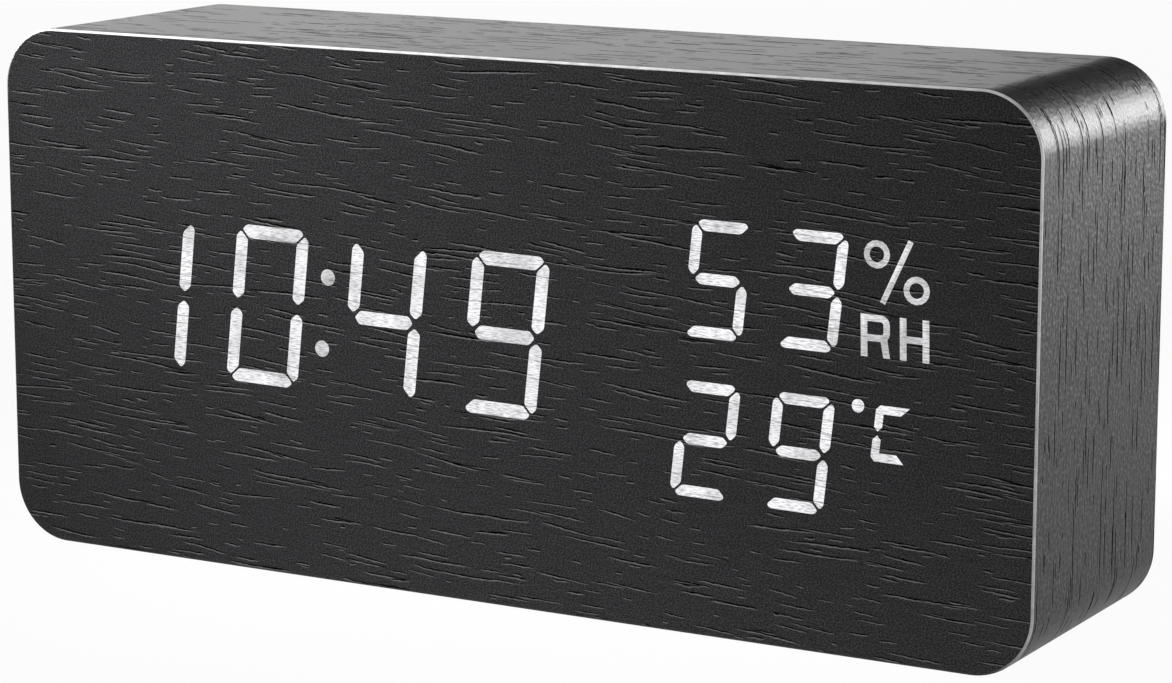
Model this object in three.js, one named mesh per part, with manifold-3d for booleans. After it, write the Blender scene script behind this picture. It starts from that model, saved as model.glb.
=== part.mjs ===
// A digital alarm clock with a wood-look case. A fibreboard sleeve is wrapped in black grain film, a
// seven-segment display shines through the front, and a plastic cover closes the back.
// Millimetres, +Z up, front towards -Y. The origin is the middle of the face that the clock stands on.
import * as THREE from "three";
import { mergeVertices } from "three/addons/utils/BufferGeometryUtils.js";
import Module from "manifold-3d";

// Case: outside size, film and fibreboard walls
const caseWidth = 150;
const caseDepth = 39;
const caseHeight = 70;
const caseCorner = 8;
const filmThickness = 0.5;
const frontChamfer = 0.35;
const sideWall = 7.5;
const topWall = 7.5;
const frontWall = 5;
const cavityCorner = 10;

// Rear cover in its rebate
const rebateWidth = 2.5;
const rebateCorner = 4;
const coverRecess = 2;
const coverThickness = 2.2;
const coverGap = 0.3;
const coverScrewInset = 3.3;
const coverScrewSink = 0.9;

// Time digits, measured on centre lines, with the middle of the row left of the case's middle
const timeText = "1049";
const timeStroke = 1.78;
const timeColumn = 9.43;
const timeRow = 19.2;
const timeCorner = 1.45;
const timeUprightGap = 0.58;
const timeBarGap = 0.32;
const timePitch = 17.97;
const timeOffset = -24.1;
const colonDiameter = 2.15;
const colonSpacing = 9.43;

// Small digits: humidity above, temperature below
const humidityText = "53";
const temperatureText = "29";
const smallStroke = 1.4;
const smallColumn = 6.84;
const smallRow = 13.17;
const smallCorner = 1.15;
const smallUprightGap = 0.35;
const smallBarGap = 0.3;
const smallPitch = 12.7;
const humidityOffset = 39.17;
const temperatureOffset = 37.88;
const smallRowSpacing = 20.04;

// What all the digits share: the gap between segments, their points, the slant and the display's tilt
const segmentGap = 0.3;
const segmentPoint = 0.75;
const digitSlant = THREE.MathUtils.degToRad(5.5);
const displayTilt = THREE.MathUtils.degToRad(0.8);
const displayRise = 0.15;

// Unit marks beside the small digits
const percentGap = 2.6;
const percentRise = 3.29;
const ringDiameter = 3.4;
const ringStroke = 0.75;
const ringSpread = new THREE.Vector2(5.27, 3.87);
const slashReach = new THREE.Vector2(3.45, 7.7);
const slashWidth = 0.72;
const letterPitch = 5.1;
const letterDrop = 4.6;
const letterWidth = 3.8;
const letterHeight = 5.1;
const letterStem = 0.86;
const letterBar = 0.82;
const letterBowl = 3.2;
const letterCorner = 1.15;
const letterSlant = THREE.MathUtils.degToRad(-2);
const degreeGap = 2.84;
const degreeDiameter = 1.65;
const degreeRise = 6.77;
const celsiusGap = 0.95;
const celsiusWidth = 4.35;
const celsiusHeight = 6.9;
const celsiusStroke = 1.05;
const celsiusRise = 3.71;
const celsiusGapHeight = 0.5;

// Light box behind the digits
const characterClearance = 0.05;
const tieWidth = 0.5;
const windowMargin = 4;
const windowCorner = 2;
const stackClearance = 0.2;
const diffuserThickness = 0.4;
const cellInset = 0.1;
const legendCellMargin = 0.8;
const ledWidth = 1;
const ledHeight = 0.8;
const ledThickness = 0.6;

// Boards and what is soldered to them
const boardThickness = 1.6;
const displayBoardClearance = 1.5;
const displayScrewInset = new THREE.Vector2(14, 2);
const chipWidth = 7.5;
const chipHeight = 2.4;
const chipPinPitch = 1.27;
const chipPinReach = 1.2;
const chipPinWidth = 0.45;
const driverPins = 12;
const driverOffset = -36;
const clockPins = 8;
const headerWall = 1.2;
const headerHeight = 3;
const solderGap = 0.1;

// Screws: large ones hold the cover, small ones hold the boards
const coverScrew = { headDiameter: 4.4, headHeight: 1.5, shankDiameter: 2.4, shankLength: 9 };
const boardScrew = { headDiameter: 3.6, headHeight: 1.3, shankDiameter: 1.8, shankLength: 5 };
const screwEdge = 0.4;
const crossLength = 2.4;
const crossWidth = 0.5;
const crossDepth = 0.8;
const screwClearance = 0.15;

// Battery bay: three slim cells side by side in a tray that is part of the rear cover
const cellDiameter = 10.5;
const cellLength = 44.5;
const nubDiameter = 3.8;
const nubLength = 0.9;
const cellEdge = 0.4;
const cellPitch = 11.2;
const cellCount = 3;
const cellClearance = 0.3;
const springLength = 4.6;
const springLargeRadius = 3.4;
const springSmallRadius = 2.2;
const springTurns = 3;
const springWire = 0.6;
const contactThickness = 0.4;
const contactWidth = 8.4;
const contactHeight = 9.2;
const contactGap = 0.1;
const tabWidth = 2.4;
const tabReach = 1.5;
const tabClearance = 0.3;
const trayWall = 2;
const trayFloor = 1.5;
const trayMargin = 3;
const trayRibWidth = 1.2;
const trayRibHeight = 1.6;

// Battery door on two moulded pins at its top edge, with a spring tongue at the bottom
const doorThickness = 2;
const doorLedge = 1.2;
const doorGap = 0.3;
const doorClearance = 0.4;
const pinDiameter = 1.2;
const pinReach = 0.8;
const pinClearance = 0.1;
const tongueWidth = 11;
const tongueLength = 8;
const tongueSlit = 0.8;
const gripRibs = 3;
const gripRibPitch = 1.8;
const gripRibWidth = 0.8;
const gripRibRise = 0.4;
const nailNotchWidth = 13;
const nailNotchHeight = 4.5;
const nailNotchDepth = 1;
const nailNotchCorner = 4;

// Control board on four posts behind the cover, with what faces the cover. Places are measured from the
// board's middle, or across from the end that the name gives
const controlGap = 4;
const controlClearance = 3;
const controlHeight = 44;
const postLength = 7.3;
const postDiameter = 5;
const postInset = 4;
const buttonNames = ["set", "up", "down"];
const buttonDiameter = 9;
const buttonPitch = 16;
const buttonRow = 11;
const buttonGap = 0.3;
const buttonRise = 1.2;
const buttonCrown = 0.35;
const buttonSeat = 0.1;
const flangeWidth = 1.1;
const flangeThickness = 1;
const stemDiameter = 4;
const switchSize = 6;
const switchHeight = 3.5;
const plungerDiameter = 3.2;
const plungerRise = 0.8;
const plungerDepth = 1.5;
const plungerClearance = 0.2;
const pressRoom = 0.8;
const usbFromRight = new THREE.Vector2(12.9, -14);
const usbWidth = 7.6;
const usbHeight = 2.9;
const usbChamfer = 0.9;
const usbWall = 0.3;
const usbGap = 0.3;
const usbBaseDepth = 3;
const usbTongueWidth = 4.6;
const usbTongueThickness = 0.7;
const usbTongueInset = 1.2;
const buzzerPlace = new THREE.Vector2(-17, -11);
const buzzerDiameter = 12;
const buzzerHeight = 6.2;
const buzzerPort = 2.4;
const buzzerPortDepth = 1.5;
const buzzerEdge = 0.5;
const soundHoleDiameter = 1.7;
const soundHoleRing = 3.4;
const soundHoleCount = 6;
const climatePlace = new THREE.Vector2(3, -12);
const climateSize = new THREE.Vector3(13, 5, 9);
const climateSlots = 4;
const climateSlotWidth = 1;
const climateSlotDepth = 1.5;
const climateSlotLength = 6;
const ventSlots = 5;
const ventSlotWidth = 1.4;
const ventSlotLength = 10;
const ventSlotPitch = 3;
const microphoneFromRight = new THREE.Vector2(6.9, -1);
const microphoneDiameter = 6;
const microphoneHeight = 5;
const microphoneHole = 1.6;
const microphoneRim = 0.6;

// What sits on the control board's far side
const coinHolderFromLeft = new THREE.Vector2(19.9, -2);
const coinDiameter = 20;
const coinThickness = 3.2;
const coinEdge = 0.3;
const coinClearance = 0.2;
const coinHolderWall = 2;
const coinHolderBase = 0.9;
const coinClipWidth = 5;
const coinClipThickness = 0.7;
const clockChipPlace = new THREE.Vector2(10, 2);
const crystalPlace = new THREE.Vector2(10, -8);
const crystalDiameter = 2;
const crystalLength = 6;
const capacitorFromRight = new THREE.Vector2(7.9, 9);
const capacitorDiameter = 6.3;
const capacitorHeight = 7;
const capacitorEdge = 0.4;
const headerPlace = new THREE.Vector2(6, 16);

// Wiring
const ribbonWidth = 12;
const ribbonThickness = 0.6;
const ribbonClearance = 0.3;
const ribbonBow = 5;
const ribbonSeat = 2;
const ribbonSteps = 16;
const leadDiameter = 1.2;
const leadSides = 8;
const redLeadSteps = 14;
const blackLeadSteps = 30;
const redPadRise = 9;
const blackPadRise = -9;

// How finely round shapes are cut
const cornerSegments = 5;
const smallCornerSegments = 1;
const roundSides = 16;
const coinSides = 20;
const screwSides = 10;
const buttonSides = 24;
const throughCut = 1;
const springSides = 5;
const springSteps = 8;

// Planes and places worked out from the sizes above
const frontY = -caseDepth / 2;
const backY = caseDepth / 2;
const midHeight = caseHeight / 2;
const coreFrontY = frontY + filmThickness;
const coreBackY = backY - filmThickness;
const cavityFrontY = coreFrontY + frontWall;
const cavityWidth = caseWidth - 2 * (filmThickness + sideWall);
const cavityHeight = caseHeight - 2 * (filmThickness + topWall);
const rebateSpan = new THREE.Vector2(cavityWidth + 2 * rebateWidth, cavityHeight + 2 * rebateWidth);
const coverSpan = rebateSpan.clone().subScalar(2 * coverGap);
const coverOuterY = backY - coverRecess;
const coverInnerY = coverOuterY - coverThickness;
const diffuserBackY = coreFrontY + diffuserThickness;
const displayBoardBackY = cavityFrontY + boardThickness;
const controlRearY = coverInnerY - postLength;
const controlFrontY = controlRearY - boardThickness;
const bayLength = cellLength + springLength + 2 * contactThickness + 3 * contactGap;
const bayHeight = cellCount * cellPitch + cellClearance;
const trayLeft = -cavityWidth / 2 + trayMargin;
const bayLeft = trayLeft + trayWall;
const bayRight = bayLeft + bayLength;
const bayX = (bayLeft + bayRight) / 2;
const trayRight = bayRight + trayWall;
const doorBackY = coverOuterY - doorThickness;
const cellY = doorBackY - doorClearance - cellDiameter / 2;
const bayFloorY = cellY - cellDiameter / 2 - cellClearance;
const trayFrontY = bayFloorY - trayFloor;
const openingSpan = new THREE.Vector2(bayLength + 2 * doorLedge, bayHeight + 2 * doorLedge);
const doorSpan = openingSpan.clone().subScalar(2 * doorGap);
const doorTop = midHeight + doorSpan.y / 2;
const pinY = coverOuterY - doorThickness / 2;
const pinZ = doorTop - doorThickness / 2;
const controlLeft = trayRight + controlGap;
const controlRight = cavityWidth / 2 - controlClearance;
const controlX = (controlLeft + controlRight) / 2;

const wasm = await Module();
wasm.setup();

// A closed geometry as a solid for joining and cutting, and back again
function solid(geometry) {
  const loose = geometry.index ? geometry.toNonIndexed() : geometry.clone();
  loose.deleteAttribute("normal");
  loose.deleteAttribute("uv");
  const merged = mergeVertices(loose, 1e-5);
  const vertProperties = merged.getAttribute("position").array;
  const triVerts = new Uint32Array(merged.index.array);
  return new wasm.Manifold(new wasm.Mesh({ numProp: 3, vertProperties, triVerts }));
}

function geometryOf(body) {
  const { vertProperties, triVerts } = body.getMesh();
  const geometry = new THREE.BufferGeometry();
  geometry.setAttribute("position", new THREE.BufferAttribute(vertProperties, 3));
  geometry.setIndex(new THREE.BufferAttribute(triVerts, 1));
  const faceted = geometry.toNonIndexed();
  faceted.computeVertexNormals();
  return faceted;
}

const join = (bodies) => bodies.reduce((whole, body) => whole.add(body));
const cut = (body, tools) => tools.reduce((left, tool) => left.subtract(tool), body);

// A flat outline in X and Z, drawn out along Y from yFront to yBack
function plate(shape, yFront, yBack, curveSegments = cornerSegments) {
  const depth = yBack - yFront;
  const geometry = new THREE.ExtrudeGeometry(shape, { depth, bevelEnabled: false, curveSegments });
  return geometry.rotateX(Math.PI / 2).translate(0, yBack, 0);
}

function block(xMin, xMax, yMin, yMax, zMin, zMax) {
  const geometry = new THREE.BoxGeometry(xMax - xMin, yMax - yMin, zMax - zMin);
  return geometry.translate((xMin + xMax) / 2, (yMin + yMax) / 2, (zMin + zMax) / 2);
}

// A shape turned about an axis along Y: the profile runs from low Y to high Y as [radius, y]
function turned(profile, sides = roundSides) {
  return new THREE.LatheGeometry(profile.map(([radius, y]) => new THREE.Vector2(radius, y)), sides);
}

const rod = (diameter, yFront, yBack, sides) =>
  turned([[0, yFront], [diameter / 2, yFront], [diameter / 2, yBack], [0, yBack]], sides);

function roundedRect(width, height, corner, x = 0, z = midHeight) {
  const right = width / 2 - corner;
  const top = height / 2 - corner;
  const shape = new THREE.Shape();
  shape.absarc(x + right, z + top, corner, 0, Math.PI / 2);
  shape.absarc(x - right, z + top, corner, Math.PI / 2, Math.PI);
  shape.absarc(x - right, z - top, corner, Math.PI, 1.5 * Math.PI);
  shape.absarc(x + right, z - top, corner, 1.5 * Math.PI, 2 * Math.PI);
  shape.closePath();
  return shape;
}

function slotShape(width, length, x, z) {
  const shape = new THREE.Shape();
  shape.absarc(x, z + (length - width) / 2, width / 2, 0, Math.PI);
  shape.absarc(x, z - (length - width) / 2, width / 2, Math.PI, 2 * Math.PI);
  shape.closePath();
  return shape;
}

function circlePoints(x, z, diameter, sides = roundSides) {
  return Array.from({ length: sides }, (_, i) => {
    const angle = (i / sides) * 2 * Math.PI;
    return new THREE.Vector2(x + (diameter / 2) * Math.cos(angle), z + (diameter / 2) * Math.sin(angle));
  });
}

// An outline moved outwards by an amount, with its corners kept sharp
function inflate(points, amount) {
  const turn = Math.sign(THREE.ShapeUtils.area(points));
  return points.map((point, i) => {
    const before = point.clone().sub(points.at(i - 1)).normalize();
    const after = points[(i + 1) % points.length].clone().sub(point).normalize();
    const normal = new THREE.Vector2(before.y + after.y, -before.x - after.x);
    return point.clone().addScaledVector(normal, (2 * amount * turn) / normal.lengthSq());
  });
}

const clock = new THREE.Group();
clock.name = "digital_alarm_clock";

function addPart(name, geometry, color, roughness, metalness = 0) {
  const mesh = new THREE.Mesh(geometry, new THREE.MeshStandardMaterial({ color, roughness, metalness }));
  mesh.name = name;
  clock.add(mesh);
  return mesh;
}

const filmBlack = 0x262626;
const fibreboard = 0x9a7650;
const coverBlack = 0x1b1b1c;
const boardGreen = 0x1f5a36;
const partBlack = 0x141414;
const steelGrey = 0xb8babd;
const nickelGrey = 0xc9c9c4;
const socketWhite = 0xe6e2d6;

// Seven-segment outlines of one digit, upright, around the middle of its centre bar. The upright segments
// stop short of the bar's centre line, and the bar stops short of theirs
function segmentOutlines({ column, row, stroke, corner, uprightGap, barGap }) {
  const x = column / 2;
  const z = row / 2;
  const half = stroke / 2;
  const offset = segmentGap / 2 / Math.SQRT2;
  const mitre = half - corner / 2;
  const barTip = x - barGap;
  const side = barTip - segmentPoint;
  const barEnd = [
    [x - half - 2 * offset, z - half],
    [x + mitre - offset, z + mitre + offset],
    [x + half - corner, z + half],
  ];
  const mirrorX = (points) => points.map(([px, pz]) => [-px, pz]).reverse();
  const mirrorZ = (points) => points.map(([px, pz]) => [px, -pz]).reverse();
  const a = [...barEnd, ...mirrorX(barEnd)];
  const b = [
    [x - half, uprightGap + segmentPoint],
    [x, uprightGap],
    [x + half, uprightGap + segmentPoint],
    [x + half, z + half - corner],
    [x + mitre + offset, z + mitre - offset],
    [x - half, z - half - 2 * offset],
  ];
  const g = [
    [barTip, 0], [side, half], [-side, half], [-barTip, 0], [-side, -half], [side, -half],
  ];
  const c = mirrorZ(b);
  return { a, b, c, d: mirrorZ(a), e: mirrorX(c), f: mirrorX(b), g };
}

const allSegments = "abcdefg";
const litSegments = {
  0: "abcdef",
  1: "bc",
  2: "abdeg",
  3: "abcdg",
  4: "bcfg",
  5: "acdfg",
  6: "acdefg",
  7: "abc",
  8: allSegments,
  9: "abcdfg",
};

// Points on the face lean with the digits about their row, and the whole display is turned a little
function lean(points, x, z, slant = digitSlant) {
  return points.map(([px, pz]) => [x + px + pz * Math.tan(slant), z + pz]);
}

function onFace(points) {
  const cos = Math.cos(displayTilt);
  const sin = Math.sin(displayTilt);
  return points.map(([x, z]) => new THREE.Vector2(x * cos + z * sin, midHeight + z * cos - x * sin));
}

const timeSize = {
  column: timeColumn,
  row: timeRow,
  stroke: timeStroke,
  corner: timeCorner,
  uprightGap: timeUprightGap,
  barGap: timeBarGap,
};
const smallSize = {
  column: smallColumn,
  row: smallRow,
  stroke: smallStroke,
  corner: smallCorner,
  uprightGap: smallUprightGap,
  barGap: smallBarGap,
};
const humidityRow = displayRise + smallRowSpacing / 2;
const temperatureRow = displayRise - smallRowSpacing / 2;
const displayRows = [
  { text: timeText, size: timeSize, pitch: timePitch, x: timeOffset, z: displayRise },
  { text: humidityText, size: smallSize, pitch: smallPitch, x: humidityOffset, z: humidityRow },
  { text: temperatureText, size: smallSize, pitch: smallPitch, x: temperatureOffset, z: temperatureRow },
];

// One outline for each segment of a row of digits: the lit ones, or all of them
function rowSegments({ text, size, pitch, x, z }, segmentsOf) {
  const outlines = segmentOutlines(size);
  return [...text].flatMap((digit, i) => {
    const digitX = x + (i - (text.length - 1) / 2) * pitch;
    const place = (letter) => onFace(lean(outlines[letter], digitX, z));
    return [...segmentsOf(digit)].map((letter) => ({ outline: place(letter), holes: [] }));
  });
}

function disc(x, z, diameter) {
  const [centre] = onFace([[x, z]]);
  return { outline: circlePoints(centre.x, centre.y, diameter), holes: [] };
}

function ring(x, z, diameter, stroke) {
  const [centre] = onFace([[x, z]]);
  const hole = circlePoints(centre.x, centre.y, diameter - 2 * stroke);
  return { outline: circlePoints(centre.x, centre.y, diameter), holes: [hole] };
}

// Letters, drawn upright from their lower left corner. The leg of the R starts halfway round the corner
// of its bowl
function letterR() {
  const legTop = letterHeight - letterBowl;
  const legLean = letterCorner * (1 - Math.SQRT1_2);
  const cornerX = letterWidth - letterCorner;
  const cornerLowZ = legTop + letterCorner;
  const cornerHighZ = letterHeight - letterCorner;
  const innerCorner = letterCorner - letterBar;
  const shape = new THREE.Shape();
  shape.moveTo(0, 0);
  shape.lineTo(letterStem, 0);
  shape.lineTo(letterStem, legTop);
  shape.lineTo(letterWidth - letterStem - legLean, legTop);
  shape.lineTo(letterWidth - letterStem, 0);
  shape.lineTo(letterWidth, 0);
  shape.absarc(cornerX, cornerLowZ, letterCorner, -Math.PI / 4, 0);
  shape.absarc(cornerX, cornerHighZ, letterCorner, 0, Math.PI / 2);
  shape.lineTo(0, letterHeight);
  const counter = new THREE.Path();
  counter.moveTo(letterStem, letterHeight - letterBar);
  counter.lineTo(letterStem, legTop + letterBar);
  counter.absarc(cornerX, cornerLowZ, innerCorner, -Math.PI / 2, 0);
  counter.absarc(cornerX, cornerHighZ, innerCorner, 0, Math.PI / 2);
  shape.holes.push(counter);
  return shape;
}

function letterH() {
  const barLow = (letterHeight - letterBar) / 2;
  const barHigh = (letterHeight + letterBar) / 2;
  const right = letterWidth - letterStem;
  return new THREE.Shape([
    [0, 0], [letterStem, 0], [letterStem, barLow], [right, barLow], [right, 0], [letterWidth, 0],
    [letterWidth, letterHeight], [right, letterHeight], [right, barHigh], [letterStem, barHigh],
    [letterStem, letterHeight], [0, letterHeight],
  ].map(([x, z]) => new THREE.Vector2(x, z)));
}

function letterGlyph(shape, x, z) {
  const { shape: outline, holes } = shape.extractPoints(roundSides / 4);
  const centred = (points) => points.map((point) => [point.x - letterWidth / 2, point.y - letterHeight / 2]);
  const place = (points) => onFace(lean(centred(points), x, z, letterSlant));
  const open = (points) => (points[0].equals(points.at(-1)) ? points.slice(0, -1) : points);
  return { outline: open(place(outline)), holes: holes.map((hole) => open(place(hole))) };
}

// The upper half of the C, a stem with a bar on top, and its mirror image below
function celsiusHalves(x, z) {
  const left = -celsiusWidth / 2;
  const right = celsiusWidth / 2;
  const top = celsiusHeight / 2;
  const nick = celsiusStroke / 2;
  const low = celsiusGapHeight / 2;
  const upper = [
    [left + nick, low], [left + celsiusStroke, low + nick], [left + celsiusStroke, top - celsiusStroke],
    [right - celsiusStroke, top - celsiusStroke], [right, top], [left + nick, top], [left, top - nick],
    [left, low + nick],
  ];
  const lower = upper.map(([px, pz]) => [px, -pz]).reverse();
  return [upper, lower].map((points) => ({ outline: onFace(lean(points, x, z)), holes: [] }));
}

// Where the unit marks stand, to the right of the last small digit of their row
const digitEdge = smallPitch / 2 + smallColumn / 2 + smallStroke / 2;
const percentX = humidityOffset + digitEdge + percentGap + (ringSpread.x + ringDiameter) / 2;
const percentZ = humidityRow + percentRise;
const letterZ = humidityRow - letterDrop;
const letterRX = percentX - letterPitch / 2;
const letterHX = percentX + letterPitch / 2;
const degreeX = temperatureOffset + digitEdge + degreeGap + degreeDiameter / 2;
const celsiusLean = (celsiusHeight / 2) * Math.tan(digitSlant);
const celsiusX = degreeX + degreeDiameter / 2 + celsiusGap + celsiusWidth / 2 + celsiusLean;

function slashGlyph() {
  const reach = slashReach.clone().divideScalar(2);
  const across = new THREE.Vector2(-reach.y, reach.x).setLength(slashWidth / 2);
  const ends = [[1, 1], [1, -1], [-1, -1], [-1, 1]];
  const corner = ([along, side]) => [
    percentX + along * reach.x + side * across.x,
    percentZ + along * reach.y + side * across.y,
  ];
  return { outline: onFace(ends.map(corner)), holes: [] };
}

const ringCentres = [
  [percentX - ringSpread.x / 2, percentZ + ringSpread.y / 2],
  [percentX + ringSpread.x / 2, percentZ - ringSpread.y / 2],
];
const rings = ringCentres.map(([x, z]) => ring(x, z, ringDiameter, ringStroke));
const humidityMarks = [
  ...rings,
  slashGlyph(),
  letterGlyph(letterR(), letterRX, letterZ),
  letterGlyph(letterH(), letterHX, letterZ),
];
const degreeMark = disc(degreeX, temperatureRow + degreeRise, degreeDiameter);
const celsiusMarks = celsiusHalves(celsiusX, temperatureRow + celsiusRise);
const colonLean = (colonSpacing / 2) * Math.tan(digitSlant);
const colonMarks = [
  disc(timeOffset + colonLean, displayRise + colonSpacing / 2, colonDiameter),
  disc(timeOffset - colonLean, displayRise - colonSpacing / 2, colonDiameter),
];
const dots = [degreeMark, ...colonMarks];
const litDigits = displayRows.flatMap((row) => rowSegments(row, (digit) => litSegments[digit]));
const litGlyphs = [...litDigits, ...humidityMarks, ...celsiusMarks, ...dots];
const digitCells = displayRows.flatMap((row) => rowSegments(row, () => allSegments));

function boundsOf(glyphs) {
  return new THREE.Box2().setFromPoints(glyphs.flatMap(({ outline }) => outline));
}

const displayBounds = boundsOf([...digitCells, ...litGlyphs]);
const windowCentre = displayBounds.getCenter(new THREE.Vector2());
const windowSpan = displayBounds.getSize(new THREE.Vector2()).addScalar(2 * windowMargin);
const stackSpan = windowSpan.clone().subScalar(2 * stackClearance);

function glyphSolids(glyphs, growth, yFront, yBack) {
  return glyphs.map(({ outline, holes }) => {
    const shape = new THREE.Shape(inflate(outline, growth));
    shape.holes = holes.map((hole) => new THREE.Path(inflate(hole, -growth)));
    return solid(plate(shape, yFront, yBack));
  });
}

// Thin ties, hidden behind the characters, hold the islands inside closed strokes to the film
function tieSolids(growth, yFront, yBack) {
  const islands = [
    ...ringCentres.map(([x, z]) => [x, z, ringDiameter / 2]),
    [letterRX, letterZ + letterHeight / 2 - letterBar, letterBar],
  ];
  return islands.map(([x, z, reach]) => {
    const [start, end] = onFace([[x, z - letterBar / 2], [x, z + reach + tieWidth]]);
    const side = tieWidth / 2 + growth;
    return solid(block(start.x - side, start.x + side, yFront, yBack, start.y - growth, end.y + growth));
  });
}

// Front veneer: film sheet with a fine chamfer, cleared where the characters shine through
const tieFrontY = (frontY + coreFrontY) / 2;
function frontVeneer() {
  const inset = 2 * frontChamfer;
  const inner = roundedRect(caseWidth - inset, caseHeight - inset, caseCorner - frontChamfer);
  const chamfered = new THREE.ExtrudeGeometry(inner, {
    depth: 2 * filmThickness - 2 * frontChamfer,
    bevelSize: frontChamfer,
    bevelThickness: frontChamfer,
    bevelSegments: 1,
    curveSegments: cornerSegments,
  });
  chamfered.rotateX(Math.PI / 2).translate(0, frontY + 2 * filmThickness - frontChamfer, 0);
  const [low, high] = [-throughCut, caseHeight + throughCut];
  const frontHalf = block(-caseWidth, caseWidth, frontY - throughCut, coreFrontY, low, high);
  const sheet = solid(chamfered).intersect(solid(frontHalf));
  const windows = glyphSolids(litGlyphs, characterClearance, frontY - throughCut, coreFrontY + throughCut);
  return cut(sheet, windows).add(join(tieSolids(0, tieFrontY, coreFrontY)));
}
addPart("front_veneer", geometryOf(frontVeneer()), filmBlack, 0.5);

// Case core: fibreboard sleeve with a front wall, a display window and a rebate for the cover
const screwHoleDiameter = ({ shankDiameter }) => shankDiameter + 2 * screwClearance;
const displayScrewReach = stackSpan.clone().divideScalar(2).sub(displayScrewInset);
const displayScrewPlaces = [-1, 1].flatMap((sideX) =>
  [1, -1].map((sideZ) => new THREE.Vector2(sideX, sideZ).multiply(displayScrewReach).add(windowCentre)));
const coverScrewX = coverSpan.x / 2 - coverScrewInset;
const coverScrewZ = coverSpan.y / 2 - coverScrewInset;
const coverScrewPlaces = [-coverScrewX, coverScrewX].flatMap((x) =>
  [coverScrewZ, -coverScrewZ].map((z) => new THREE.Vector2(x, midHeight + z)));

const coreOutline = () =>
  roundedRect(caseWidth - 2 * filmThickness, caseHeight - 2 * filmThickness, caseCorner - filmThickness);
const cavityOutline = (inset = 0) =>
  roundedRect(cavityWidth - 2 * inset, cavityHeight - 2 * inset, cavityCorner - inset);
const rebateOutline = (inset = 0) =>
  roundedRect(rebateSpan.x - 2 * inset, rebateSpan.y - 2 * inset, rebateCorner - inset);
const windowOutline = (inset = 0) => {
  const { x, y: z } = windowCentre;
  return roundedRect(windowSpan.x - 2 * inset, windowSpan.y - 2 * inset, windowCorner, x, z);
};

function holeAt({ x, y: z }, diameter, yFront, yBack) {
  return solid(rod(diameter, yFront, yBack, screwSides).translate(x, 0, z));
}

const coverSeatY = coverOuterY - coverScrewSink;
const coverPilotEnd = coverSeatY - coverScrew.shankLength - screwClearance;
function caseCore() {
  const sleeve = solid(plate(coreOutline(), coreFrontY, coreBackY));
  const coverPilots = coverScrewPlaces.map((place) =>
    holeAt(place, screwHoleDiameter(coverScrew), coverPilotEnd, coreBackY));
  return cut(sleeve, [
    solid(plate(cavityOutline(), cavityFrontY, coreBackY + throughCut)),
    solid(plate(rebateOutline(), coverInnerY, coreBackY + throughCut)),
    solid(plate(windowOutline(), coreFrontY - throughCut, cavityFrontY + throughCut, smallCornerSegments)),
    ...coverPilots,
  ]);
}
addPart("case_core", geometryOf(caseCore()), fibreboard, 0.9);

// Side wrap: one band of film round the four sides, and the rear veneer: a film frame on the back rim
const wrapShape = roundedRect(caseWidth, caseHeight, caseCorner);
wrapShape.holes.push(coreOutline());
addPart("side_wrap", plate(wrapShape, coreFrontY, backY), filmBlack, 0.5);

const rearShape = coreOutline();
rearShape.holes.push(rebateOutline());
addPart("rear_veneer", plate(rearShape, coreBackY, backY), filmBlack, 0.55);

// Display diffuser: milky sheet in the window, with the characters raised to the film's face
function displayDiffuser() {
  const sheet = solid(plate(windowOutline(stackClearance), coreFrontY, diffuserBackY, smallCornerSegments));
  const embed = diffuserThickness / 2;
  const characters = glyphSolids(litGlyphs, 0, frontY, coreFrontY + embed);
  const tieRoom = tieSolids(characterClearance, tieFrontY - characterClearance, coreFrontY);
  return cut(sheet.add(join(characters)), tieRoom);
}
addPart("display_diffuser", geometryOf(displayDiffuser()), 0xf4f4f2, 0.4);

// Display reflector: white light box with one cell through it for each segment and mark, glued in the window
function legendCell(glyphs) {
  const { min, max } = boundsOf(glyphs).expandByScalar(legendCellMargin);
  const corners = [[min.x, min.y], [max.x, min.y], [max.x, max.y], [min.x, max.y]];
  return { outline: corners.map(([x, z]) => new THREE.Vector2(x, z)), holes: [] };
}
const lightCells = [...digitCells, ...dots, legendCell(humidityMarks), legendCell(celsiusMarks)];
const displayPilotEnd = displayBoardBackY - boardScrew.shankLength - screwClearance;
function displayReflector() {
  const box = solid(plate(windowOutline(stackClearance), diffuserBackY, cavityFrontY, smallCornerSegments));
  const cells = glyphSolids(lightCells, -cellInset, diffuserBackY - throughCut, cavityFrontY + throughCut);
  const pilots = displayScrewPlaces.map((place) =>
    holeAt(place, screwHoleDiameter(boardScrew), displayPilotEnd, cavityFrontY + throughCut));
  return cut(box, [...cells, ...pilots]);
}
addPart("display_reflector", geometryOf(displayReflector()), 0xf0efe9, 0.6);

// Display board: circuit board screwed to the light box, with a small lamp in the middle of each cell
function displayBoard() {
  const board = solid(plate(cavityOutline(displayBoardClearance), cavityFrontY, displayBoardBackY));
  const lampFront = cavityFrontY - ledThickness;
  const lampBack = cavityFrontY + boardThickness / 2;
  const [sideX, sideZ] = [ledWidth / 2, ledHeight / 2];
  const lamps = lightCells.map((cell) => {
    const { x, y: z } = boundsOf([cell]).getCenter(new THREE.Vector2());
    return solid(block(x - sideX, x + sideX, lampFront, lampBack, z - sideZ, z + sideZ));
  });
  const [holeFront, holeBack] = [cavityFrontY - throughCut, displayBoardBackY + throughCut];
  const holes = displayScrewPlaces.map((place) =>
    holeAt(place, screwHoleDiameter(boardScrew), holeFront, holeBack));
  return cut(board.add(join(lamps)), holes);
}
addPart("display_board", geometryOf(displayBoard()), boardGreen, 0.5);

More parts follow.
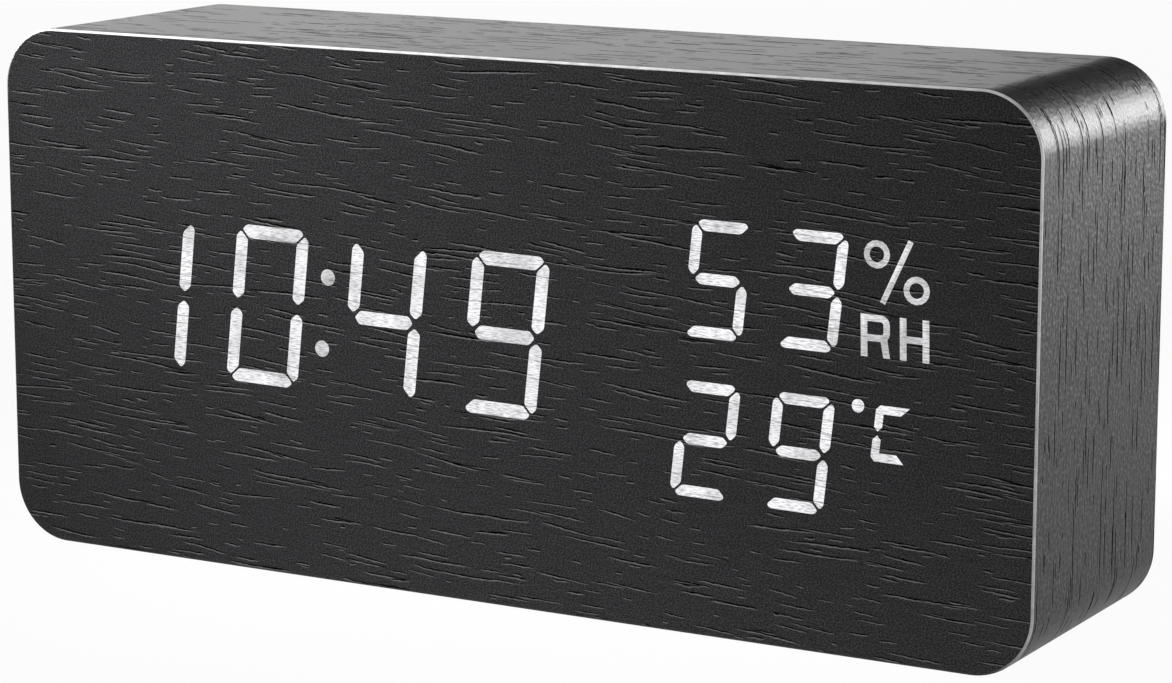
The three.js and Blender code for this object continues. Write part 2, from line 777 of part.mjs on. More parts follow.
// A screw along Y with its cross-recessed head towards +Y, its head's seat at y = 0
function screwGeometry({ headDiameter, headHeight, shankDiameter, shankLength }) {
  const shank = shankDiameter / 2;
  const head = headDiameter / 2;
  const body = solid(turned([
    [0, -shankLength], [shank, shank - shankLength], [shank, 0], [head, 0], [head, headHeight - screwEdge],
    [head - screwEdge, headHeight], [0, headHeight],
  ], screwSides));
  const [reach, side] = [crossLength / 2, crossWidth / 2];
  const crossFloor = headHeight - crossDepth;
  const across = solid(block(-reach, reach, crossFloor, headHeight + throughCut, -side, side));
  const upright = solid(block(-side, side, crossFloor, headHeight + throughCut, -reach, reach));
  return geometryOf(cut(body, [across, upright]));
}
const boardScrewGeometry = screwGeometry(boardScrew);
const coverScrewGeometry = screwGeometry(coverScrew);

displayScrewPlaces.forEach(({ x, y: z }, i) => {
  const screw = addPart(`display_screw_${i + 1}`, boardScrewGeometry, steelGrey, 0.35, 1);
  screw.position.set(x, displayBoardBackY, z);
});

// A chip lying on a board's +Y face at y = 0, its two rows of pins along X
function chipGeometry(pinsPerSide) {
  const length = pinsPerSide * chipPinPitch;
  const body = solid(block(-length / 2, length / 2, solderGap, chipHeight, -chipWidth / 2, chipWidth / 2));
  const pinEnd = chipWidth / 2 + chipPinReach;
  const pins = Array.from({ length: pinsPerSide }, (_, i) => {
    const x = (i - (pinsPerSide - 1) / 2) * chipPinPitch;
    return solid(block(x - chipPinWidth / 2, x + chipPinWidth / 2, 0, chipHeight / 2, -pinEnd, pinEnd));
  });
  return geometryOf(body.add(join(pins)));
}
const driverChip = addPart("driver_chip", chipGeometry(driverPins), partBlack, 0.6);
driverChip.position.set(driverOffset, displayBoardBackY, midHeight);

// Headers take the two ends of the ribbon cable, one on each board, with their slots facing each other
const headerX = controlX + headerPlace.x;
const headerZ = midHeight + headerPlace.y;
function headerGeometry(yBoard, yMouth) {
  const [low, high] = [Math.min(yBoard, yMouth), Math.max(yBoard, yMouth)];
  const slotEnd = yMouth + Math.sign(yBoard - yMouth) * (ribbonSeat + solderGap);
  const slotOver = yMouth + Math.sign(yMouth - yBoard) * throughCut;
  const slotX = ribbonWidth / 2 + ribbonClearance;
  const slotZ = ribbonThickness / 2 + ribbonClearance;
  const [endX, endZ] = [slotX + headerWall, slotZ + headerWall];
  const body = solid(block(-endX, endX, low, high, -endZ, endZ));
  const slotLow = Math.min(slotEnd, slotOver);
  const slotHigh = Math.max(slotEnd, slotOver);
  return geometryOf(body.subtract(solid(block(-slotX, slotX, slotLow, slotHigh, -slotZ, slotZ))));
}
const displayHeaderMouth = displayBoardBackY + headerHeight;
const controlHeaderMouth = controlFrontY - headerHeight;
const displayHeaderGeometry = headerGeometry(displayBoardBackY, displayHeaderMouth);
const controlHeaderGeometry = headerGeometry(controlFrontY, controlHeaderMouth);
addPart("display_header", displayHeaderGeometry, socketWhite, 0.5).position.set(headerX, 0, headerZ);
addPart("control_header", controlHeaderGeometry, socketWhite, 0.5).position.set(headerX, 0, headerZ);

// Rear cover: plastic panel with the battery tray, the board's posts, and holes for what reaches the back
const cellRows = Array.from({ length: cellCount }, (_, i) =>
  midHeight + ((cellCount - 1) / 2 - i) * cellPitch);
const firstRow = cellRows[0];
const lastRow = cellRows.at(-1);
const postPlaces = [controlLeft + postInset, controlRight - postInset].flatMap((x) =>
  [1, -1].map((side) => new THREE.Vector2(x, midHeight + side * (controlHeight / 2 - postInset))));
const onControl = (place) => new THREE.Vector2(controlX + place.x, midHeight + place.y);
const fromLeft = (place) => new THREE.Vector2(controlLeft + place.x, midHeight + place.y);
const fromRight = (place) => new THREE.Vector2(controlRight - place.x, midHeight + place.y);
const buttonPlaces = buttonNames.map((_, i) =>
  onControl(new THREE.Vector2((i - (buttonNames.length - 1) / 2) * buttonPitch, buttonRow)));

function usbOutline(growth) {
  const { x, y: z } = fromRight(usbFromRight);
  const right = usbWidth / 2;
  const top = usbHeight / 2;
  const points = [
    [right, top], [-right, top], [-right, usbChamfer - top], [usbChamfer - right, -top],
    [right - usbChamfer, -top], [right, usbChamfer - top],
  ];
  return inflate(points.map(([px, pz]) => new THREE.Vector2(x + px, z + pz)), growth);
}

// The slot in the tray's floor that a contact's soldering tab passes through
function tabSlot(xMin, xMax, row) {
  const side = tabWidth / 2 + tabClearance;
  const wide = tabClearance;
  const [slotFront, slotBack] = [trayFrontY - throughCut, bayFloorY + throughCut];
  return solid(block(xMin - wide, xMax + wide, slotFront, slotBack, row - side, row + side));
}

const leftContact = [bayLeft, bayLeft + contactThickness];
const rightContact = [bayRight - contactThickness, bayRight];
const flatEndContact = (i) => (i % 2 === 0 ? leftContact : rightContact);
const negativeContact = flatEndContact(cellCount - 1);
function rearCover() {
  const panel = solid(plate(rebateOutline(coverGap), coverInnerY, coverOuterY));
  const trayLow = midHeight - bayHeight / 2;
  const trayHigh = midHeight + bayHeight / 2;
  const [wallLow, wallHigh] = [trayLow - trayWall, trayHigh + trayWall];
  const trayBody = block(trayLeft, trayRight, trayFrontY, doorBackY, wallLow, wallHigh);
  const bay = block(bayLeft, bayRight, bayFloorY, coverOuterY + throughCut, trayLow, trayHigh);
  const openingShape = roundedRect(openingSpan.x, openingSpan.y, doorGap, bayX);
  const opening = plate(openingShape, doorBackY, coverOuterY + throughCut, smallCornerSegments);
  const posts = postPlaces.map(({ x, y: z }) =>
    solid(rod(postDiameter, controlRearY, coverInnerY + coverThickness / 2).translate(x, 0, z)));
  const pilots = postPlaces.map((place) =>
    holeAt(place, screwHoleDiameter(boardScrew), controlRearY - throughCut, coverInnerY));
  const ribs = cellRows.slice(1).map((row) => {
    const z = row + cellPitch / 2;
    const ribTop = bayFloorY + trayRibHeight;
    const ribStart = bayLeft + contactThickness + springLength;
    const ribEnd = bayRight - contactThickness - springLength;
    return solid(block(ribStart, ribEnd, trayFrontY, ribTop, z - trayRibWidth / 2, z + trayRibWidth / 2));
  });
  const shell = cut(panel.add(solid(trayBody)), [solid(opening), solid(bay)]);
  return cut(join([shell, ...posts, ...ribs]), [...pilots, ...coverHoles()]);
}

function coverHoles() {
  const past = coverOuterY + throughCut;
  const through = (shape) => solid(plate(shape, coverInnerY - throughCut, past, smallCornerSegments));
  const outline = (points) => through(new THREE.Shape(points));
  const buttonHoles = buttonPlaces.map((place) =>
    outline(circlePoints(place.x, place.y, buttonDiameter + 2 * buttonGap, buttonSides)));
  const buzzer = onControl(buzzerPlace);
  const soundHoles = circlePoints(buzzer.x, buzzer.y, 2 * soundHoleRing, soundHoleCount);
  const soundCuts = [buzzer, ...soundHoles].map(({ x, y: z }) =>
    outline(circlePoints(x, z, soundHoleDiameter, screwSides)));
  const climate = onControl(climatePlace);
  const vents = Array.from({ length: ventSlots }, (_, i) => {
    const x = climate.x + (i - (ventSlots - 1) / 2) * ventSlotPitch;
    return through(slotShape(ventSlotWidth, ventSlotLength, x, climate.y));
  });
  const microphone = fromRight(microphoneFromRight);
  const screwCuts = coverScrewPlaces.flatMap((place) => [
    holeAt(place, screwHoleDiameter(coverScrew), coverInnerY - throughCut, past),
    holeAt(place, coverScrew.headDiameter + 2 * screwClearance, coverSeatY, past),
  ]);
  const notchZ = midHeight - openingSpan.y / 2;
  const notch = roundedRect(nailNotchWidth, 2 * nailNotchHeight, nailNotchCorner, bayX, notchZ);
  const boreRadius = pinDiameter / 2 + pinClearance;
  const boreLength = openingSpan.x + 2 * (pinReach + doorGap);
  const pinBore = new THREE.CylinderGeometry(boreRadius, boreRadius, boreLength, screwSides);
  pinBore.rotateZ(Math.PI / 2).translate(bayX, pinY, pinZ);
  return [
    ...buttonHoles,
    ...soundCuts,
    ...vents,
    ...screwCuts,
    outline(circlePoints(microphone.x, microphone.y, microphoneHole, screwSides)),
    outline(usbOutline(usbGap)),
    solid(plate(notch, coverOuterY - nailNotchDepth, past)),
    solid(pinBore),
    tabSlot(...rightContact, firstRow),
    tabSlot(...negativeContact, lastRow),
  ];
}
addPart("rear_cover", geometryOf(rearCover()), coverBlack, 0.6);

coverScrewPlaces.forEach(({ x, y: z }, i) => {
  const screw = addPart(`cover_screw_${i + 1}`, coverScrewGeometry, steelGrey, 0.35, 1);
  screw.position.set(x, coverSeatY, z);
});

// Battery door: plate with a round nose and two pins at the top, and a spring tongue with grip ribs below
function batteryDoor() {
  const nose = doorThickness / 2;
  const [left, right] = [bayX - doorSpan.x / 2, bayX + doorSpan.x / 2];
  const bottom = doorTop - doorSpan.y;
  const panel = solid(block(left, right, doorBackY, coverOuterY, bottom, pinZ));
  const noseRod = new THREE.CylinderGeometry(nose, nose, doorSpan.x, roundSides);
  const pinRadius = pinDiameter / 2;
  const pinRod = new THREE.CylinderGeometry(pinRadius, pinRadius, openingSpan.x + 2 * pinReach, screwSides);
  const lay = (geometry) => solid(geometry.rotateZ(Math.PI / 2).translate(bayX, pinY, pinZ));
  const slits = [-1, 1].map((side) => {
    const x = bayX + (side * tongueWidth) / 2;
    const [slitFront, slitBack] = [doorBackY - throughCut, coverOuterY + throughCut];
    const [slitLow, slitHigh] = [bottom - throughCut, bottom + tongueLength];
    return solid(block(x - tongueSlit / 2, x + tongueSlit / 2, slitFront, slitBack, slitLow, slitHigh));
  });
  const ribs = Array.from({ length: gripRibs }, (_, i) => {
    const z = bottom + (i + 1) * gripRibPitch;
    const ribX = tongueWidth / 2 - tongueSlit;
    const ribTop = coverOuterY + gripRibRise;
    return solid(block(bayX - ribX, bayX + ribX, pinY, ribTop, z - gripRibWidth / 2, z + gripRibWidth / 2));
  });
  return join([cut(panel, slits), lay(noseRod), lay(pinRod), ...ribs]);
}
addPart("battery_door", geometryOf(batteryDoor()), coverBlack, 0.6);

// Cells lie along X, every other one turned round, with a spring at the flat end of each
function cellGeometry() {
  const radius = cellDiameter / 2;
  const shoulder = cellLength - nubLength;
  return turned([
    [0, 0], [radius - cellEdge, 0], [radius, cellEdge], [radius, shoulder - cellEdge],
    [radius - cellEdge, shoulder], [nubDiameter / 2, shoulder], [nubDiameter / 2, cellLength],
    [0, cellLength],
  ]).rotateZ(-Math.PI / 2);
}

class ConeSpring extends THREE.Curve {
  getPoint(t, target = new THREE.Vector3()) {
    const angle = 2 * Math.PI * springTurns * t;
    const radius = THREE.MathUtils.lerp(springLargeRadius, springSmallRadius, t);
    const along = THREE.MathUtils.lerp(springWire, springLength - springWire, t);
    return target.set(along, radius * Math.cos(angle), radius * Math.sin(angle));
  }
}

// One tube: a straight end, the curls and a straight end, as rings of points joined side by side
function springGeometry() {
  const coil = new ConeSpring().getPoints(springTurns * springSteps);
  const [start, end] = [coil[0], coil.at(-1)];
  const path = [start.clone().setX(0), ...coil, end.clone().setX(springLength)];
  const rings = path.map((point, i) => {
    const ahead = path[Math.min(i + 1, path.length - 1)].clone().sub(path[Math.max(i - 1, 0)]).normalize();
    const outward = new THREE.Vector3(0, point.y, point.z).normalize();
    const tangent = i === 0 || i === path.length - 1 ? new THREE.Vector3(1, 0, 0) : ahead;
    const side = new THREE.Vector3().crossVectors(tangent, outward).normalize();
    const up = new THREE.Vector3().crossVectors(side, tangent);
    return Array.from({ length: springSides }, (_, k) => {
      const angle = (k / springSides) * 2 * Math.PI;
      const reach = up.clone().multiplyScalar(Math.cos(angle)).addScaledVector(side, Math.sin(angle));
      return point.clone().addScaledVector(reach, springWire / 2);
    });
  });
  const positions = rings.flat().flatMap((p) => [p.x, p.y, p.z]);
  const faces = [];
  const last = (rings.length - 1) * springSides;
  for (let k = 0; k < springSides; k += 1) {
    const next = (k + 1) % springSides;
    for (let base = 0; base < last; base += springSides) {
      const above = base + springSides;
      faces.push(base + k, base + next, above + next, base + k, above + next, above + k);
    }
    if (k > 0 && next > 0) {
      faces.push(0, next, k, last, last + k, last + next);
    }
  }
  const geometry = new THREE.BufferGeometry();
  geometry.setAttribute("position", new THREE.Float32BufferAttribute(positions, 3));
  geometry.setIndex(faces);
  console.log(`least gap of a battery spring to itself: ${springSelfGap(path).toFixed(2)} mm`);
  return geometryOf(solid(geometry));
}

// Points that are at least three quarters of a turn apart are on different curls
function springSelfGap(path) {
  const apart = Math.round(springSteps * 0.75);
  let least = Infinity;
  path.forEach((point, i) => {
    path.slice(i + apart).forEach((other) => {
      least = Math.min(least, point.distanceTo(other) - springWire);
    });
  });
  return least;
}

const cell = cellGeometry();
const spring = springGeometry();
cellRows.forEach((row, i) => {
  const nubRight = i % 2 === 0;
  const wall = nubRight ? bayLeft : bayRight;
  const inward = nubRight ? 1 : -1;
  const springMesh = addPart(`battery_spring_${i + 1}`, spring, nickelGrey, 0.3, 1);
  springMesh.position.set(wall + inward * (contactThickness + contactGap), cellY, row);
  const flatEnd = wall + inward * (contactThickness + 2 * contactGap + springLength);
  const cellMesh = addPart(`battery_cell_${i + 1}`, cell, 0x3b6a8f, 0.35, 0.3);
  cellMesh.position.set(flatEnd, cellY, row);
  const facing = nubRight ? 0 : Math.PI;
  springMesh.rotation.z = facing;
  cellMesh.rotation.z = facing;
});

// Contacts stand on the tray's floor: single ones with a soldering tab, and bridges between two cells
function contactGeometry([xMin, xMax], rowHigh, rowLow, tab) {
  const top = bayFloorY + contactHeight;
  const [low, high] = [rowLow - contactWidth / 2, rowHigh + contactWidth / 2];
  const blade = block(xMin, xMax, bayFloorY, top, low, high);
  if (!tab) {
    return blade;
  }
  const [tabLow, tabHigh] = [rowHigh - tabWidth / 2, rowHigh + tabWidth / 2];
  const tabBlade = block(xMin, xMax, trayFrontY - tabReach, top, tabLow, tabHigh);
  return geometryOf(solid(blade).add(solid(tabBlade)));
}
function addContact(name, wall, rowHigh, rowLow, tab) {
  addPart(name, contactGeometry(wall, rowHigh, rowLow, tab), nickelGrey, 0.3, 1);
}
addContact("contact_positive", rightContact, firstRow, firstRow, true);
cellRows.slice(1).forEach((row, i) => {
  addContact(`contact_bridge_${i + 1}`, flatEndContact(i), cellRows[i], row, false);
});
addContact("contact_negative", negativeContact, lastRow, lastRow, true);

// Buttons slide in the cover; each presses the plunger of the switch behind it
const switchTopY = controlRearY + switchHeight;
const plungerTopY = switchTopY + plungerRise;
const flangeBackY = coverInnerY - buttonGap;
function buttonGeometry() {
  const radius = buttonDiameter / 2;
  const topY = coverOuterY + buttonRise;
  const flangeFrontY = flangeBackY - flangeThickness;
  const stemFrontY = plungerTopY + buttonSeat;
  return turned([
    [0, stemFrontY], [stemDiameter / 2, stemFrontY], [stemDiameter / 2, flangeFrontY],
    [radius + flangeWidth, flangeFrontY], [radius + flangeWidth, flangeBackY], [radius, flangeBackY],
    [radius, topY - buttonCrown], [radius - buttonCrown, topY], [0, topY],
  ], buttonSides);
}

const pocketBackY = switchTopY - plungerDepth - pressRoom;
function switchGeometry() {
  const half = switchSize / 2;
  const body = solid(block(-half, half, controlRearY, switchTopY, -half, half));
  const pocket = solid(rod(plungerDiameter + 2 * plungerClearance, pocketBackY, switchTopY + throughCut));
  return geometryOf(body.subtract(pocket));
}

const plungerGeometry = rod(plungerDiameter, switchTopY - plungerDepth, plungerTopY);
const button = buttonGeometry();
const tactSwitch = switchGeometry();
buttonNames.forEach((name, i) => {
  const { x, y: z } = buttonPlaces[i];
  addPart(`${name}_button`, button, 0x2a2a2b, 0.5).position.set(x, 0, z);
  addPart(`${name}_switch`, tactSwitch, partBlack, 0.5).position.set(x, 0, z);
  addPart(`${name}_plunger`, plungerGeometry, 0x8c2a22, 0.5).position.set(x, 0, z);
});

// Control board, screwed to the cover's posts from its far side
function controlBoard() {
  const low = midHeight - controlHeight / 2;
  const high = midHeight + controlHeight / 2;
  const board = solid(block(controlLeft, controlRight, controlFrontY, controlRearY, low, high));
  const holes = postPlaces.map((place) =>
    holeAt(place, screwHoleDiameter(boardScrew), controlFrontY - throughCut, controlRearY + throughCut));
  return cut(board, holes);
}
addPart("control_board", geometryOf(controlBoard()), boardGreen, 0.5);

postPlaces.forEach(({ x, y: z }, i) => {
  const screw = addPart(`control_screw_${i + 1}`, boardScrewGeometry, steelGrey, 0.35, 1);
  screw.position.set(x, controlFrontY, z);
  screw.rotation.x = Math.PI;
});

// Power socket: a folded shell that reaches the cover's face, round a tongue on a moulded base
const usbMouthY = coverOuterY - usbGap;
const usbShell = new THREE.Shape(usbOutline(0));
usbShell.holes.push(new THREE.Path(usbOutline(-usbWall)));
addPart("usb_shell", plate(usbShell, controlRearY, usbMouthY), nickelGrey, 0.3, 1);

function usbTongue() {
  const { x, y: z } = fromRight(usbFromRight);
  const baseShape = new THREE.Shape(usbOutline(-usbWall - solderGap));
  const base = solid(plate(baseShape, controlRearY, controlRearY + usbBaseDepth));
  const [halfWidth, halfThickness] = [usbTongueWidth / 2, usbTongueThickness / 2];
  const end = usbMouthY - usbTongueInset;
  const [low, high] = [z - halfThickness, z + halfThickness];
  const tongue = block(x - halfWidth, x + halfWidth, controlRearY, end, low, high);
  return base.add(solid(tongue));
}
addPart("usb_tongue", geometryOf(usbTongue()), partBlack, 0.5);

// What else stands on the control board and faces the cover
const buzzerTopY = controlRearY + buzzerHeight;
const buzzerGeometry = turned([
  [0, controlRearY], [buzzerDiameter / 2, controlRearY], [buzzerDiameter / 2, buzzerTopY - buzzerEdge],
  [buzzerDiameter / 2 - buzzerEdge, buzzerTopY], [buzzerPort / 2, buzzerTopY],
  [buzzerPort / 2, buzzerTopY - buzzerPortDepth], [0, buzzerTopY - buzzerPortDepth],
]);
const buzzerAt = onControl(buzzerPlace);
addPart("buzzer", buzzerGeometry, partBlack, 0.6).position.set(buzzerAt.x, 0, buzzerAt.y);

const microphoneTopY = controlRearY + microphoneHeight;
const microphoneRadius = microphoneDiameter / 2;
const membraneRadius = microphoneRadius - microphoneRim;
const membraneY = microphoneTopY - microphoneRim;
const microphoneGeometry = turned([
  [0, controlRearY], [microphoneRadius, controlRearY], [microphoneRadius, microphoneTopY],
  [membraneRadius, microphoneTopY], [membraneRadius, membraneY], [0, membraneY],
]);
const microphoneAt = fromRight(microphoneFromRight);
const microphone = addPart("microphone", microphoneGeometry, steelGrey, 0.35, 1);
microphone.position.set(microphoneAt.x, 0, microphoneAt.y);

function climateSensor() {
  const { x, y: z } = onControl(climatePlace);
  const { x: width, y: height, z: length } = climateSize;
  const topY = controlRearY + height;
  const [bodyLow, bodyHigh] = [z - length / 2, z + length / 2];
  const body = solid(block(x - width / 2, x + width / 2, controlRearY, topY, bodyLow, bodyHigh));
  const pitch = width / (climateSlots + 1);
  const slots = Array.from({ length: climateSlots }, (_, i) => {
    const slotX = x - width / 2 + (i + 1) * pitch;
    const [left, right] = [slotX - climateSlotWidth / 2, slotX + climateSlotWidth / 2];
    const [low, high] = [z - climateSlotLength / 2, z + climateSlotLength / 2];
    return solid(block(left, right, topY - climateSlotDepth, topY + throughCut, low, high));
  });
  return cut(body, slots);
}
addPart("climate_sensor", geometryOf(climateSensor()), 0xdfe6ea, 0.5);

// What hangs on the control board's far side
function coinHolder() {
  const { x, y: z } = fromLeft(coinHolderFromLeft);
  const pocket = coinDiameter + 2 * coinClearance;
  const outer = pocket / 2 + coinHolderWall;
  const pocketY = controlFrontY - coinHolderBase;
  const rimY = pocketY - coinThickness - coinClearance;
  const clipY = rimY - coinClipThickness;
  const frame = solid(block(x - outer, x + outer, clipY, controlFrontY, z - outer, z + outer));
  const room = solid(rod(pocket, rimY, pocketY, coinSides).translate(x, 0, z));
  const clip = coinClipWidth / 2;
  const past = outer + throughCut;
  const above = solid(block(x - past, x + past, clipY - throughCut, rimY, z + clip, z + past));
  const below = solid(block(x - past, x + past, clipY - throughCut, rimY, z - past, z - clip));
  return cut(frame, [room, above, below]);
}
addPart("coin_cell_holder", geometryOf(coinHolder()), partBlack, 0.55);

const coinAt = fromLeft(coinHolderFromLeft);
const coinTopY = controlFrontY - coinHolderBase - coinClearance / 2;
const coinGeometry = turned([
  [0, coinTopY - coinThickness], [coinDiameter / 2 - coinEdge, coinTopY - coinThickness],
  [coinDiameter / 2, coinTopY - coinThickness + coinEdge], [coinDiameter / 2, coinTopY], [0, coinTopY],
], coinSides);
addPart("coin_cell", coinGeometry, steelGrey, 0.3, 1).position.set(coinAt.x, 0, coinAt.y);

const clockChipAt = onControl(clockChipPlace);
const clockChip = addPart("clock_chip", chipGeometry(clockPins), partBlack, 0.6);
clockChip.position.set(clockChipAt.x, controlFrontY, clockChipAt.y);
clockChip.rotation.x = Math.PI;

const crystalAt = onControl(crystalPlace);
const crystalGeometry = rod(crystalDiameter, -crystalLength / 2, crystalLength / 2, screwSides);
const crystal = addPart("crystal", crystalGeometry, nickelGrey, 0.3, 1);
crystal.position.set(crystalAt.x, controlFrontY - crystalDiameter / 2 - solderGap, crystalAt.y);
crystal.rotation.z = Math.PI / 2;

const capacitorFrontY = controlFrontY - capacitorHeight;
const capacitorGeometry = turned([
  [0, capacitorFrontY], [capacitorDiameter / 2 - capacitorEdge, capacitorFrontY],
  [capacitorDiameter / 2, capacitorFrontY + capacitorEdge], [capacitorDiameter / 2, controlFrontY],
  [0, controlFrontY],
]);
const capacitorAt = fromRight(capacitorFromRight);
addPart("capacitor", capacitorGeometry, 0x2b3a55, 0.4).position.set(capacitorAt.x, 0, capacitorAt.y);

// Ribbon cable: a flat strip between the two headers, bowed downwards so that the cover can be lifted
function ribbonCable() {
  const startY = controlHeaderMouth + ribbonSeat;
  const endY = displayHeaderMouth - ribbonSeat;
  const middle = (controlHeaderMouth + displayHeaderMouth) / 2;
  const route = new THREE.CatmullRomCurve3([
    [startY, 0], [controlHeaderMouth, 0], [controlHeaderMouth - ribbonSeat / 2, -ribbonSeat / 4],
    [middle, -ribbonBow], [displayHeaderMouth + ribbonSeat / 2, -ribbonSeat / 4],
    [displayHeaderMouth, 0], [endY, 0],
  ].map(([y, z]) => new THREE.Vector3(y, z, 0)));
  const stations = Array.from({ length: ribbonSteps + 1 }, (_, i) => i / ribbonSteps);
  const edge = (side) => stations.map((t) => {
    const along = route.getTangentAt(t);
    const point = route.getPointAt(t);
    const offset = (side * ribbonThickness) / 2;
    return new THREE.Vector2(point.x - offset * along.y, point.y + offset * along.x);
  });
  const profile = new THREE.Shape([...edge(1), ...edge(-1).reverse()]);
  const strip = new THREE.ExtrudeGeometry(profile, { depth: ribbonWidth, bevelEnabled: false });
  const toCase = new THREE.Matrix4().makeBasis(
    new THREE.Vector3(0, 1, 0), new THREE.Vector3(0, 0, 1), new THREE.Vector3(1, 0, 0));
  return strip.applyMatrix4(toCase).translate(headerX - ribbonWidth / 2, 0, headerZ);
}
addPart("ribbon_cable", ribbonCable(), 0x9a9a98, 0.6);

// Battery leads, from the single contacts' tabs to the control board's pads
function leadGeometry(points, steps) {
  const extrudePath = new THREE.CatmullRomCurve3(points.map(([x, y, z]) => new THREE.Vector3(x, y, z)));
  const section = new THREE.Shape(circlePoints(0, 0, leadDiameter, leadSides));
  return new THREE.ExtrudeGeometry(section, { steps, extrudePath, bevelEnabled: false });
}
const tabEndY = trayFrontY - tabReach - solderGap;
const padX = controlLeft + postInset;
const padY = controlFrontY - solderGap;
const redStartX = (rightContact[0] + rightContact[1]) / 2;
const blackStartX = (negativeContact[0] + negativeContact[1]) / 2;
const redPadZ = midHeight + redPadRise;
const blackPadZ = midHeight + blackPadRise;
const cavityFloorZ = midHeight - cavityHeight / 2;
const blackRunZ = cavityFloorZ + 2 * leadDiameter;
const redLead = leadGeometry([
  [redStartX, tabEndY, firstRow],
  [redStartX, tabEndY - 1.6, firstRow],
  [redStartX + 3.5, tabEndY - 3.2, firstRow - 0.6],
  [padX - 2, padY - 6.5, redPadZ + 0.4],
  [padX, padY - 3, redPadZ],
  [padX, padY, redPadZ],
], redLeadSteps);
const blackLead = leadGeometry([
  [blackStartX, tabEndY, lastRow],
  [blackStartX, tabEndY - 1.6, lastRow],
  [blackStartX + 1.5, tabEndY - 2.4, lastRow - 4],
  [blackStartX + 5, trayFrontY, blackRunZ + 1.5],
  [blackStartX + 12, cellY - 2, blackRunZ],
  [bayX, cellY, blackRunZ],
  [bayRight - 6, cellY - 2, blackRunZ],
  [padX - 4, padY - 7, blackRunZ + 5],
  [padX, padY - 5, blackPadZ - 3],
  [padX, padY - 2, blackPadZ],
  [padX, padY, blackPadZ],
], blackLeadSteps);
addPart("battery_lead_red", redLead, 0xb01818, 0.5);
addPart("battery_lead_black", blackLead, 0x161616, 0.5);

export default clock;
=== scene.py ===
"""Looks of a digital alarm clock: a black wood-grain block whose characters shine through its front."""
import math

import bmesh
import bpy
from mathutils import Matrix, Vector


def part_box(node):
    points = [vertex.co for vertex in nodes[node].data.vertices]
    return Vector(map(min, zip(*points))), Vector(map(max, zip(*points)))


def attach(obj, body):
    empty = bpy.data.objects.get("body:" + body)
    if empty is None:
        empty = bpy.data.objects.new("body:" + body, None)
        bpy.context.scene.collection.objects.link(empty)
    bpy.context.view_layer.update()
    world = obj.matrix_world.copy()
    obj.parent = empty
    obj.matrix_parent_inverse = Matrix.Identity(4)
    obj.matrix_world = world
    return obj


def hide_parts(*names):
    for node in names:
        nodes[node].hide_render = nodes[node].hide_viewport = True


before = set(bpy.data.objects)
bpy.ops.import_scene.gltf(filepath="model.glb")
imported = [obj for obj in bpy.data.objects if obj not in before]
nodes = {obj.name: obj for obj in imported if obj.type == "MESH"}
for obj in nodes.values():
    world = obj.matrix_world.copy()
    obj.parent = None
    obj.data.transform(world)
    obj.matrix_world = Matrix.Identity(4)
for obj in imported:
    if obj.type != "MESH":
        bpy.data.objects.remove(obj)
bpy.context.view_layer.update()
mm = 0.001

# Camera: a long lens a little above the clock and round to its right side,
# close enough that the front fills the picture.
camera_data = bpy.data.cameras.new("camera")
camera_data.lens = 113.06
camera_data.sensor_width = 36
camera_azimuth = 29.693
camera_elevation = 10.817
camera = bpy.data.objects.new("camera", camera_data)
camera.location = (236.49 * mm, -408.51 * mm, 121.0 * mm)
camera.rotation_euler = (math.radians(90 - camera_elevation), 0, math.radians(camera_azimuth))
bpy.context.collection.objects.link(camera)
bpy.context.scene.camera = camera
bpy.context.scene.view_settings.view_transform = "Standard"

# Table: a wide sheet of matt white card that the clock stands on,
# so large that its far edge is lost in the white round it.
table_half = 6
table_drop = 0.05 * mm
card_whiteness = 0.95


def feed(node, inputs):
    """Links or sets a shader node's inputs."""
    for name, value in inputs.items():
        if isinstance(value, bpy.types.NodeSocket):
            node.id_data.links.new(value, node.inputs[name])
        else:
            node.inputs[name].default_value = value


def add_node(tree, kind, inputs=None, **settings):
    """A shader node with its settings made and its inputs fed."""
    node = tree.nodes.new(kind)
    for name, value in settings.items():
        setattr(node, name, value)
    feed(node, inputs or {})
    return node


def sums(tree, operation, first, second=0.0, third=0.0):
    """One arithmetic node's result."""
    return add_node(tree, "ShaderNodeMath", {0: first, 1: second, 2: third}, operation=operation).outputs[0]


def ranged(tree, value, start, end, low=0.0, high=1.0, ease="LINEAR"):
    """A number that goes from low to high while a value goes from start to end."""
    return add_node(tree, "ShaderNodeMapRange", {
        "Value": value, "From Min": start, "From Max": end, "To Min": low, "To Max": high},
        interpolation_type=ease).outputs["Result"]


def new_finish(name):
    """A material with a node tree, and its surface shader."""
    finish = bpy.data.materials.new(name)
    finish.use_nodes = True
    return finish, finish.node_tree, finish.node_tree.nodes["Principled BSDF"]


def move(solid, step):
    """Moves a whole mesh."""
    bmesh.ops.translate(solid, vec=step, verts=solid.verts)


def as_piece(name, bm, finishes, crease=35):
    """A finished mesh as an object at the origin, smooth but for edges sharper than the crease angle."""
    mesh = bpy.data.meshes.new(name)
    bm.to_mesh(mesh)
    bm.free()
    mesh.shade_smooth()
    mesh.set_sharp_from_angle(angle=math.radians(crease))
    for finish in finishes:
        mesh.materials.append(finish)
    piece = bpy.data.objects.new(name, mesh)
    bpy.context.collection.objects.link(piece)
    return piece


